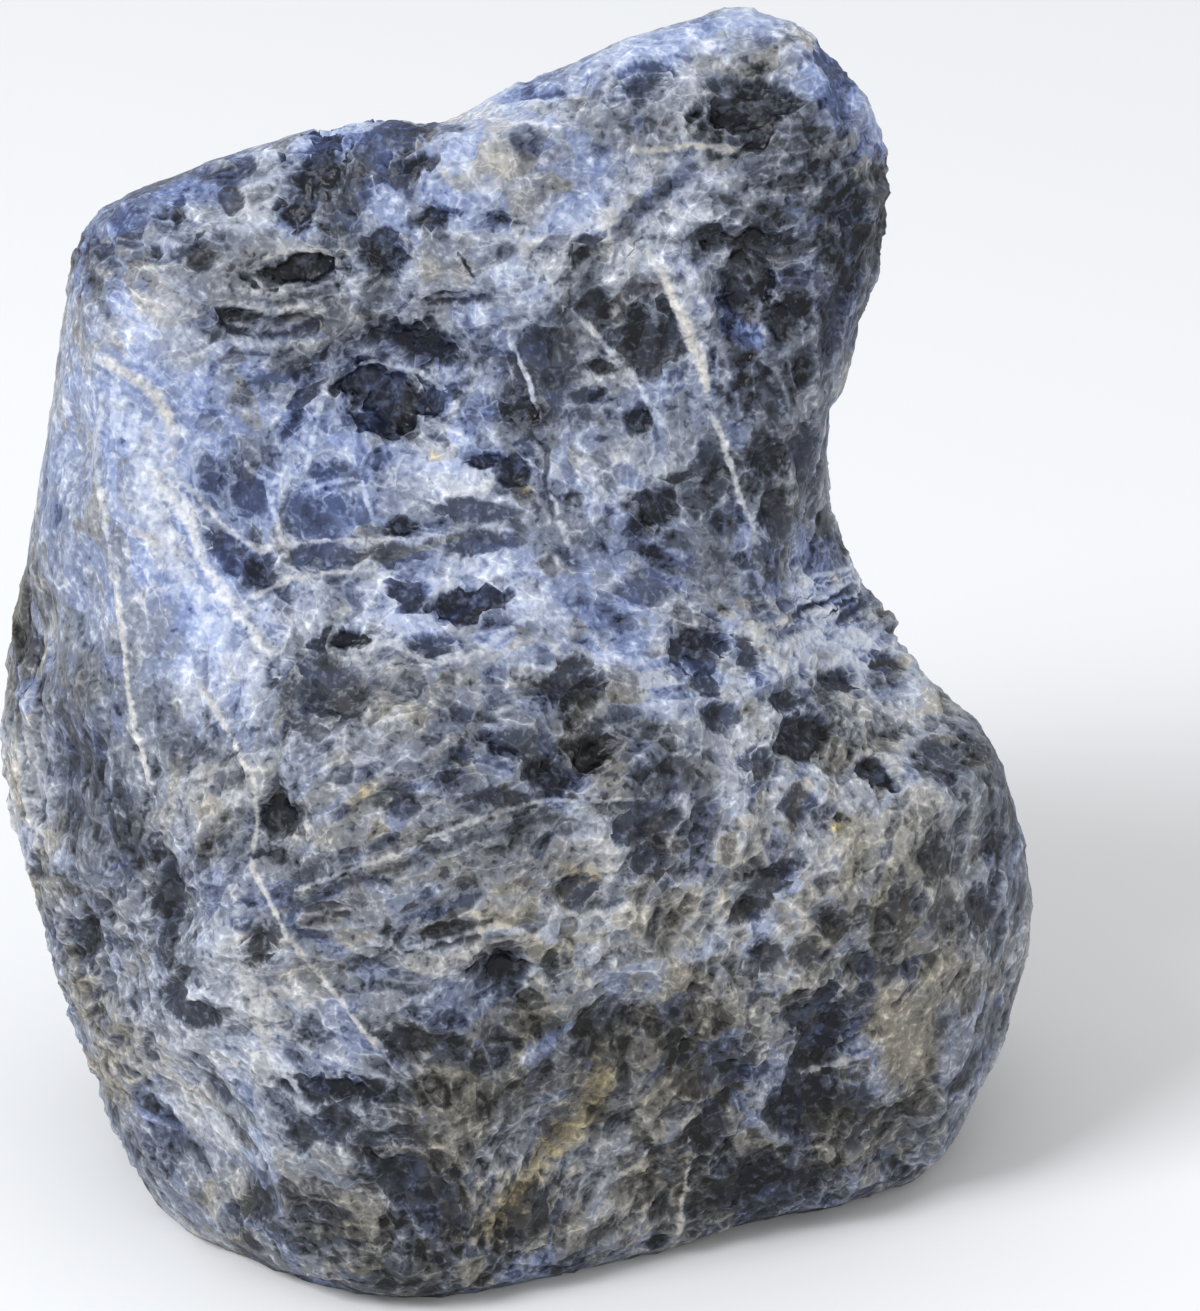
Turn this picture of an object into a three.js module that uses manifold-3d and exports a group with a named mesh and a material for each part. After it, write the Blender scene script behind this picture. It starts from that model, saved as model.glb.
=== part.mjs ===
// A lump of raw sodalite: one rough, unworked stone that stands on a flat broken face.
// A belly in front carries a sloping hollow, a head rises behind it, and the head's right end
// is a knob that overhangs a narrow waist.
// Millimetres, +Z up, the front faces -Y, and the origin is under the middle of the stone.

import * as THREE from "three";
import { ImprovedNoise } from "three/addons/math/ImprovedNoise.js";
import { mergeVertices } from "three/addons/utils/BufferGeometryUtils.js";
import Module from "manifold-3d";

// Driving dimensions
const HEART = new THREE.Vector3(0, 0, 72); // the point that the eye looks at
const CORE = new THREE.Vector3(0, 12, 75); // a point deep inside the stone
const EYE_ELEVATION = 25; // degrees above the horizon, in front of the stone
const EYE_DISTANCE = 900;
const REACH = 130; // no face is further than this from the core
const MESH_DETAIL = 21; // the skin has 20 * (MESH_DETAIL + 1)^2 triangles
const RELAX_ROUNDS = 20; // how often the skin's points are spread out evenly
const RELAX_HOLD = 0.5; // how much of its old place a point keeps each time
const EDGE_WEAR = 0.25; // how far each point of the skin ends towards the middle of its neighbours
const BASE_ALLOWANCE = 4; // stone below the base plane that the flat cut takes off
const BASE_BOX = 400;

const FACE_ROUND = 7; // how softly two broken faces meet
const SEAT_FILLET = 12; // the hollow corner between belly and head
const OUTLINE_ROUND = 5;
const WEAR_ALLOWANCE = 0.25; // the outline is grown by this, and rounding and wear take it off again
const BACK_START = 8; // behind this the stone draws in from the outline, by BACK_TAPER per millimetre
const BACK_TAPER = 0.3;

// The outline of the stone as the eye sees it: [right, up] from the line of sight, in the plane of the heart.
const OUTLINE = [
  [-53.5, 54], [-46, 58], [-36.5, 61.5], [-25, 65], [-16, 66], [-9, 65.5], [-2, 69], [6.5, 73], [15, 76.5],
  [28.5, 80.5], [33.5, 80.5], [38, 76.5], [44, 69], [48, 58], [48, 53.5], [42, 39], [38.5, 24], [40, 16.5],
  [46.5, 5], [49, -2], [58, -10], [61, -17], [64, -29], [63.5, -36.5], [59, -51], [50.5, -66], [47, -67.5],
  [36, -70], [10, -77], [-14.5, -80.5], [-23.5, -79], [-40, -73.5], [-44.5, -70], [-51.5, -55], [-58, -36],
  [-63.5, -13.5], [-64, -5], [-61, 13], [-58, 28], [-56, 43],
];
const OUTLINE_STEPS = 200;

// Broken faces: the way each one looks, as degrees round from the front (right is positive) and degrees up,
// and a point that it runs through.
const BELLY_FACES = [
  { name: "left flank", round: -48, rise: 15, through: [-30, -41, 85] },
  { name: "lower left flank", round: -45, rise: -12, through: [-51, -14, 0] },
  { name: "prow", round: -8, rise: -1, through: [-24, -46, 60] },
  { name: "front", round: 22, rise: -6, through: [13, -38.5, 53] },
  { name: "seat", round: 4, rise: 44, through: [-6, -39, 88] },
  { name: "right shoulder", round: 44, rise: 50, through: [42, -6, 74] },
  { name: "right lobe", round: 62, rise: 2, through: [61, -11, 40] },
  { name: "back", round: 174, rise: 3, through: [0, 46, 50] },
  { name: "upper back", round: 166, rise: 17, through: [0, 45, 82] },
  { name: "back left", round: -126, rise: 8, through: [-54, 24, 60] },
  { name: "back right", round: 122, rise: 12, through: [55, 30, 45] },
  { name: "underside", round: 0, rise: -90, through: [0, 0, -BASE_ALLOWANCE] },
];
const HEAD_FACES = [
  { name: "forehead", round: 6, rise: 14, through: [-20, -18, 120] },
  { name: "brow", round: -25, rise: 48, through: [-20, -6, 145] },
  { name: "left temple", round: -60, rise: 6, through: [-53, -8, 122] },
  { name: "knob side", round: 62, rise: -6, through: [48, 1, 132] },
  { name: "crown", round: 0, rise: 70, through: [10, 10, 156] },
  { name: "nape", round: 172, rise: 18, through: [0, 38, 100] },
  { name: "nape left", round: -130, rise: 14, through: [-48, 26, 105] },
  { name: "nape right", round: 126, rise: 8, through: [42, 32, 115] },
  { name: "underside", round: 0, rise: -90, through: [0, 0, 76] },
];

// Large hollows broken out of the block, as ellipsoids: centre, radii and the softness of the rim.
const SCOOPS = [
  { name: "bowl over the seat", centre: [-19, -49, 117], radii: [35, 34, 29], round: 9 },
  { name: "waist under the knob", centre: [67, -4, 97], radii: [26, 40, 25], round: 8 },
];

// Pits and lumps on the front, placed as the eye sees them: [right, up], half length, half width, and the
// depth or height. The length lies level, or climbs to the right by some degrees where a tilt is given.
const PITS = [
  { name: "knob hollow", at: [29, 68], half: [6, 4.5], depth: 3.5 },
  { name: "slot under the forehead", at: [-27, 47.5], half: [8, 3.6], depth: 5 },
  { name: "second slot", at: [-31, 39], half: [8, 3.4], depth: 4 },
  { name: "dark hollow of the bowl", at: [-15, 33], half: [7.5, 6], depth: 4.5 },
  { name: "slab bed", at: [-27, 56], half: [7, 3.6], depth: 3.5, tilt: 60 },
  { name: "bowl nick", at: [-2, 22.5], half: [6, 3.6], depth: 3 },
  { name: "seat nick", at: [-6, 6], half: [6.5, 3.4], depth: 3.5 },
  { name: "lip nick", at: [-21, 1.5], half: [5, 4], depth: 3.5 },
  { name: "flank nick", at: [-30, -20.5], half: [5, 4], depth: 3, tilt: 80 },
  { name: "belly hollow", at: [8, -11], half: [10, 7], depth: 3.5 },
  { name: "shoulder nick", at: [22, 0], half: [6, 4.5], depth: 3, tilt: 80 },
  { name: "lobe hollow", at: [37, -51], half: [10, 7], depth: 3.5, tilt: 85 },
  { name: "lobe nick", at: [45, -15], half: [5, 4], depth: 3 },
  { name: "knob side hollow", at: [29, 46], half: [7, 4.5], depth: 3, tilt: 75 },
  { name: "low belly pit", at: [5, -30], half: [5, 4], depth: 2.5 },
  { name: "low prow pit", at: [-15, -68], half: [8, 4], depth: 2.5, tilt: 10 },
];
const LUMPS = [
  { name: "bright bump at the waist", at: [37, 8], half: [6.5, 6], height: 3 },
  { name: "shield under the knob", at: [16, 34], half: [13, 16], height: 3.5 },
  { name: "knob brow", at: [34, 60], half: [7, 12], height: 2 },
  { name: "seat lip", at: [-12, -2], half: [10, 4.5], height: 2.5 },
  { name: "slab on the forehead", at: [-18.5, 58], half: [8, 4], height: 3, tilt: 60 },
  { name: "forehead ledge", at: [-39, 44], half: [11, 3.6], height: 2.4, tilt: 4 },
  { name: "flank ridge above", at: [-47, 30], half: [12, 3.6], height: 2, tilt: -50 },
  { name: "flank ridge below", at: [-34, 8], half: [13, 3.6], height: 2, tilt: -66 },
  { name: "pale vein ridge", at: [23.5, 34], half: [12, 3.2], height: 2, tilt: -74 },
  { name: "left belly ledge", at: [-16.5, -28], half: [10, 3.6], height: 2.4, tilt: 16 },
  { name: "right belly ledge", at: [5.5, -21.5], half: [10, 3.6], height: 2.4, tilt: 14 },
  { name: "lower belly ledge", at: [-1, -36.5], half: [12, 3.6], height: 2.4, tilt: 5 },
];
const DETAIL_ROUND = 1.5;

// Shallow shell-shaped chips all over, as if flaked off by large balls.
const CHIP_COUNT = 170;
const CHIP_SEED = 7;
const CHIP_RADIUS = [9, 32];
const CHIP_DEPTH = [1.2, 3];
const CHIP_OUTLINE_MARGIN = 1.5; // the chips keep this far inside the outline

// Uneven ground of the broken faces: wavelength and height of each layer.
const ROUGHNESS = [
  { wavelength: 36, height: 2.6 },
  { wavelength: 16, height: 1.3 },
];

const STONE_COLOUR = 0x6f7a9c;

// The eye and the plane of sight

const elevation = THREE.MathUtils.degToRad(EYE_ELEVATION);
const towardsEye = new THREE.Vector3(0, -Math.cos(elevation), Math.sin(elevation));
const sightUp = new THREE.Vector3(0, Math.sin(elevation), Math.cos(elevation));
const eye = HEART.clone().addScaledVector(towardsEye, EYE_DISTANCE);
const offset = new THREE.Vector3();

/** Where the eye sees a point: [right, up] in the plane of the heart. */
function sightOf(p) {
  offset.copy(p).sub(HEART);
  const scale = EYE_DISTANCE / (EYE_DISTANCE - offset.dot(towardsEye));
  return [offset.x * scale, offset.dot(sightUp) * scale];
}

const outlinePoints = new THREE.CatmullRomCurve3(
  OUTLINE.map(([right, up]) => new THREE.Vector3(right, up, 0)),
  true,
).getPoints(OUTLINE_STEPS);

/** Signed distance of a point in the plane of sight from the outline, negative inside. */
function outlineDistance([right, up]) {
  let nearest = Infinity;
  let inside = false;
  for (let i = 0; i < OUTLINE_STEPS; i++) {
    const a = outlinePoints[i];
    const b = outlinePoints[i + 1];
    const edgeX = b.x - a.x;
    const edgeY = b.y - a.y;
    const x = right - a.x;
    const y = up - a.y;
    const share = (x * edgeX + y * edgeY) / (edgeX * edgeX + edgeY * edgeY);
    const along = Math.min(Math.max(share, 0), 1);
    const awayX = x - along * edgeX;
    const awayY = y - along * edgeY;
    nearest = Math.min(nearest, awayX * awayX + awayY * awayY);
    if (a.y > up !== b.y > up && x < (edgeX * y) / edgeY) inside = !inside;
  }
  return inside ? -Math.sqrt(nearest) : Math.sqrt(nearest);
}

// Solids as fields: negative inside, and about the distance in millimetres from the surface

/** The larger of two fields, with the edge between them rounded. */
function roundMax(a, b, round) {
  const blend = Math.max(round - Math.abs(a - b), 0);
  return Math.max(a, b) + (blend * blend) / (4 * round);
}

const roundMin = (a, b, round) => -roundMax(-a, -b, round);

function planeOf({ round, rise, through }) {
  const side = THREE.MathUtils.degToRad(round);
  const up = THREE.MathUtils.degToRad(rise);
  const normal = new THREE.Vector3(
    Math.sin(side) * Math.cos(up),
    -Math.cos(side) * Math.cos(up),
    Math.sin(up),
  );
  return new THREE.Plane().setFromNormalAndCoplanarPoint(normal, new THREE.Vector3(...through));
}

const bellyPlanes = BELLY_FACES.map(planeOf);
const headPlanes = HEAD_FACES.map(planeOf);

function blockField(planes, p) {
  let field = -REACH;
  for (const plane of planes) field = roundMax(field, plane.distanceToPoint(p), FACE_ROUND);
  return field;
}

const local = new THREE.Vector3();
const TINY = 1e-6; // keeps a division clear of zero

function ellipsoidField({ centre, radii, turn }, p) {
  local.copy(p).sub(centre);
  if (turn) local.applyQuaternion(turn);
  const size = local.divide(radii).length();
  return (size * (size - 1)) / Math.max(local.divide(radii).length(), TINY);
}

const scoops = SCOOPS.map(({ centre, radii, round }) => ({
  centre: new THREE.Vector3(...centre),
  radii: new THREE.Vector3(...radii),
  round,
}));

const noise = new ImprovedNoise();

function roughness(p) {
  let height = 0;
  for (const layer of ROUGHNESS) {
    const { wavelength } = layer;
    height += layer.height * noise.noise(p.x / wavelength, p.y / wavelength, p.z / wavelength);
  }
  return height;
}

/** What the outline leaves of the stone: as wide as the outline in front, and drawn in unevenly behind. */
function outlineField(p) {
  const behind = Math.max(p.y - BACK_START, 0);
  const uneven = Math.min(behind * BACK_TAPER, 1) * roughness(p);
  return outlineDistance(sightOf(p)) - WEAR_ALLOWANCE + behind * BACK_TAPER + uneven;
}

/** The block with its large hollows, before chips, pits and lumps. */
function blockedOut(p) {
  let field = roundMin(blockField(bellyPlanes, p), blockField(headPlanes, p), SEAT_FILLET);
  for (const scoop of scoops) field = roundMax(field, -ellipsoidField(scoop, p), scoop.round);
  return roundMax(field + roughness(p), outlineField(p), OUTLINE_ROUND);
}

const probe = new THREE.Vector3();

/** The outward direction of a field at a point. */
function outward(field, p, step = 0.4) {
  const here = field(p);
  return new THREE.Vector3(
    field(probe.set(p.x + step, p.y, p.z)) - here,
    field(probe.set(p.x, p.y + step, p.z)) - here,
    field(probe.set(p.x, p.y, p.z + step)) - here,
  ).normalize();
}

/** The first point of a field's surface on the way from one point towards another. */
function surfaceBetween(field, from, to, steps = 80, halvings = 12) {
  const at = (share) => probe.lerpVectors(from, to, share);
  let far = 0;
  while (far < 1 && field(at(far)) > 0) far += 1 / steps;
  let near = far - 1 / steps;
  for (let i = 0; i < halvings; i++) {
    const middle = (near + far) / 2;
    if (field(at(middle)) > 0) near = middle;
    else far = middle;
  }
  return at(far).clone();
}

/** The point of the front that the eye sees at [right, up]. */
function frontPoint([right, up]) {
  const seen = HEART.clone().addScaledVector(sightUp, up);
  seen.x += right;
  const ray = seen.sub(eye).normalize();
  const nearEnd = eye.clone().addScaledVector(ray, EYE_DISTANCE - REACH);
  const farEnd = eye.clone().addScaledVector(ray, EYE_DISTANCE + REACH);
  return surfaceBetween(blockedOut, nearEnd, farEnd);
}

/** A pit or lump as an ellipsoid that is sunk into the front, or stands out of it, by its depth or height. */
function frontDetail({ at, half, depth, height, tilt = 0 }) {
  const surface = frontPoint(at);
  const normal = outward(blockedOut, surface);
  const bulge = Math.max(depth ?? height, Math.min(...half));
  const shift = depth ? bulge - depth : height - bulge;
  const across = new THREE.Vector3(0, 0, 1).cross(normal).normalize();
  const upwards = normal.clone().cross(across);
  const tilted = new THREE.Matrix4().makeRotationZ(THREE.MathUtils.degToRad(tilt));
  const axes = new THREE.Matrix4().makeBasis(across, upwards, normal).multiply(tilted);
  return {
    centre: surface.addScaledVector(normal, shift),
    radii: new THREE.Vector3(half[0], half[1], bulge),
    turn: new THREE.Quaternion().setFromRotationMatrix(axes).invert(),
  };
}

const pits = PITS.map(frontDetail);
const lumps = LUMPS.map(frontDetail);

const GOLDEN_ANGLE = Math.PI * (3 - Math.sqrt(5));

/** Directions spread evenly over a ball, in a spiral. */
function spiralDirection(index, count) {
  const height = 1 - (2 * (index + 0.5)) / count;
  const turn = index * GOLDEN_ANGLE;
  const ring = Math.sqrt(1 - height * height);
  return new THREE.Vector3(ring * Math.cos(turn), ring * Math.sin(turn), height);
}

const fromCore = (direction) => CORE.clone().addScaledVector(direction, REACH);

THREE.MathUtils.seededRandom(CHIP_SEED);
const between = ([low, high]) => THREE.MathUtils.lerp(low, high, THREE.MathUtils.seededRandom());

function chipAt(index) {
  const surface = surfaceBetween(blockedOut, fromCore(spiralDirection(index, CHIP_COUNT)), CORE);
  const radius = between(CHIP_RADIUS);
  const depth = between(CHIP_DEPTH);
  const centre = surface.clone().addScaledVector(outward(blockedOut, surface), radius - depth);
  return { surface, radius, centre };
}

const chips = Array.from({ length: CHIP_COUNT }, (_, index) => chipAt(index)).filter(
  ({ surface }) => outlineDistance(sightOf(surface)) < -CHIP_OUTLINE_MARGIN,
);

/** The whole stone, still with the allowance below its base. */
function stone(p) {
  let field = blockedOut(p);
  for (const lump of lumps) field = roundMin(field, ellipsoidField(lump, p), DETAIL_ROUND);
  for (const chip of chips) field = Math.max(field, chip.radius - p.distanceTo(chip.centre));
  for (const pit of pits) field = roundMax(field, -ellipsoidField(pit, p), DETAIL_ROUND);
  return field;
}

// The skin: a ball of triangles drawn in onto the stone, then spread out evenly along it

function neighboursOf(geometry) {
  const near = Array.from({ length: geometry.getAttribute("position").count }, () => new Set());
  const index = geometry.index.array;
  for (let i = 0; i < index.length; i++) {
    const next = i % 3 === 2 ? i - 2 : i + 1;
    near[index[i]].add(index[next]);
    near[index[next]].add(index[i]);
  }
  return near.map((set) => [...set]);
}

function middleOf(chosen, points) {
  const sum = new THREE.Vector3();
  for (const i of chosen) sum.add(points[i]);
  return sum.divideScalar(chosen.length);
}

function settle(p, rounds = 1) {
  for (let i = 0; i < rounds; i++) {
    const direction = outward(stone, p);
    p.addScaledVector(direction, -stone(p));
  }
  return p;
}

function skin() {
  const ball = new THREE.IcosahedronGeometry(1, MESH_DETAIL);
  ball.deleteAttribute("normal");
  ball.deleteAttribute("uv");
  const geometry = mergeVertices(ball);
  const position = geometry.getAttribute("position");
  const near = neighboursOf(geometry);
  let points = near.map((_, i) => {
    const direction = new THREE.Vector3().fromBufferAttribute(position, i).normalize();
    return surfaceBetween(stone, fromCore(direction), CORE);
  });
  for (let round = 0; round < RELAX_ROUNDS; round++) {
    points = points.map((p, i) => settle(middleOf(near[i], points).lerp(p, RELAX_HOLD)));
  }
  points.forEach((p) => settle(p, 2));
  points.forEach((p, i) => position.setXYZ(i, ...p.clone().lerp(middleOf(near[i], points), EDGE_WEAR)));
  return geometry;
}

// The flat base and the finished mesh

const wasm = await Module();
wasm.setup();

function solidOf(geometry) {
  const bare = geometry.clone();
  bare.deleteAttribute("normal");
  bare.deleteAttribute("uv");
  const merged = mergeVertices(bare);
  return new wasm.Manifold(
    new wasm.Mesh({
      numProp: 3,
      vertProperties: merged.getAttribute("position").array,
      triVerts: new Uint32Array(merged.index.array),
    }),
  );
}

function geometryOf(solid) {
  const mesh = solid.getMesh();
  const geometry = new THREE.BufferGeometry();
  geometry.setAttribute("position", new THREE.BufferAttribute(mesh.vertProperties, 3));
  geometry.setIndex(new THREE.BufferAttribute(mesh.triVerts, 1));
  geometry.computeVertexNormals();
  return geometry;
}

const below = new THREE.BoxGeometry(BASE_BOX, BASE_BOX, BASE_BOX).translate(0, 0, -BASE_BOX / 2);
const sodalite = new THREE.Mesh(
  geometryOf(solidOf(skin()).subtract(solidOf(below))),
  new THREE.MeshStandardMaterial({ color: STONE_COLOUR, roughness: 0.6, metalness: 0 }),
);
sodalite.name = "sodalite";
sodalite.geometry.computeBoundingBox();
const middle = sodalite.geometry.boundingBox.getCenter(new THREE.Vector3());
sodalite.position.set(-middle.x, -middle.y, 0);

const part = new THREE.Group();
part.name = "raw_sodalite";
part.add(sodalite);

export default part;
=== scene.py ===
import math

import bpy
import numpy as np
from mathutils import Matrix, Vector
from mathutils.bvhtree import BVHTree


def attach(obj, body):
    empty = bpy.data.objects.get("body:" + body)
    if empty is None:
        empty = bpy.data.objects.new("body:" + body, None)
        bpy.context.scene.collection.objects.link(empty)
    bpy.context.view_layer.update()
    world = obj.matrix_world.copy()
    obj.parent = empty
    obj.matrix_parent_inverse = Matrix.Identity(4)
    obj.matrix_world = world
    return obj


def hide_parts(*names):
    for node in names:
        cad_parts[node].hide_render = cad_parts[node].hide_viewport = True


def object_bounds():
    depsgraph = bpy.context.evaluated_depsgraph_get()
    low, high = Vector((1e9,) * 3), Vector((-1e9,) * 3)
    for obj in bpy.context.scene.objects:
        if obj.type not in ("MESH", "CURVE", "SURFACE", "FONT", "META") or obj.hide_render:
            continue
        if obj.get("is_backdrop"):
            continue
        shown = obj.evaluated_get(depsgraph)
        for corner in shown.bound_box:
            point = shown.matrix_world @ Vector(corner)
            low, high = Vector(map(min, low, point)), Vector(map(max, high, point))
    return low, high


NODE = "sodalite"
PIECE = "sodalite_stone"
MM = 0.001

# The eye of the photograph: it looks at the heart of the stone from 25 degrees above the horizon.
PHOTO_SIZE = (1200, 1311)
HEART = np.array((-0.00056, -0.00345, 0.072))
HEART_PIXEL = (517, 652)
PIXEL = 0.125 * MM
EYE_DISTANCE = 0.9
EYE_ELEVATION = math.radians(25)
SENSOR = 36.0
RIGHT = np.array((1.0, 0.0, 0.0))
SIGHT_UP = np.array((0.0, math.sin(EYE_ELEVATION), math.cos(EYE_ELEVATION)))
TOWARDS_EYE = np.array((0.0, -math.cos(EYE_ELEVATION), math.sin(EYE_ELEVATION)))
EYE = HEART + EYE_DISTANCE * TOWARDS_EYE

# The mesh: its voxels, how often the solid's facets are smoothed, the most triangles that are kept, the
# height under which the foot is set flat, and the height over which the relief grows from nothing.
VOXEL = 0.58 * MM
SMOOTH_ROUNDS = 10
TRIANGLES = 190_000
BASE_HEIGHT = 0.5 * MM
BASE_FADE = 4.0 * MM

# Tones run from 0, black, to 1, white. Dark crystals without a name have the loose tone.
BLACK = 0.0
CHARCOAL = 0.07
SLATE = 0.16
LOOSE_TONE = 0.2
PALE = 0.74


def patch(at, half, lean=0, depth=0.6, tone=CHARCOAL):
    """A dark patch, mostly a dark mineral and in a few recesses painted shade: middle and half sizes in
    pixels, lean in degrees and depth in millimetres.
    """
    return dict(at=at, half=half, lean=lean, depth=depth, tone=tone)


def black(at, half, lean=0, depth=0.9):
    """A black patch, most often deep: mostly a black mineral, and in some slots painted shade."""
    return patch(at, half, lean, depth, BLACK)


def slate(at, half, lean=0, depth=0.5):
    """A slate grey mineral, most often shallow."""
    return patch(at, half, lean, depth, SLATE)


def vein(points, half, show=0.75, tone=PALE, warm=0.0):
    """A line: points and half width in pixels, how clearly it shows, its tone and its warmth."""
    return dict(points=points, half=half, show=show, tone=tone, warm=warm)


def area(points, half, **changes):
    """A broad area: points and half width of its axis in pixels, and what it adds of some of AREA_KINDS."""
    return dict(points=points, half=half, **changes)
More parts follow.
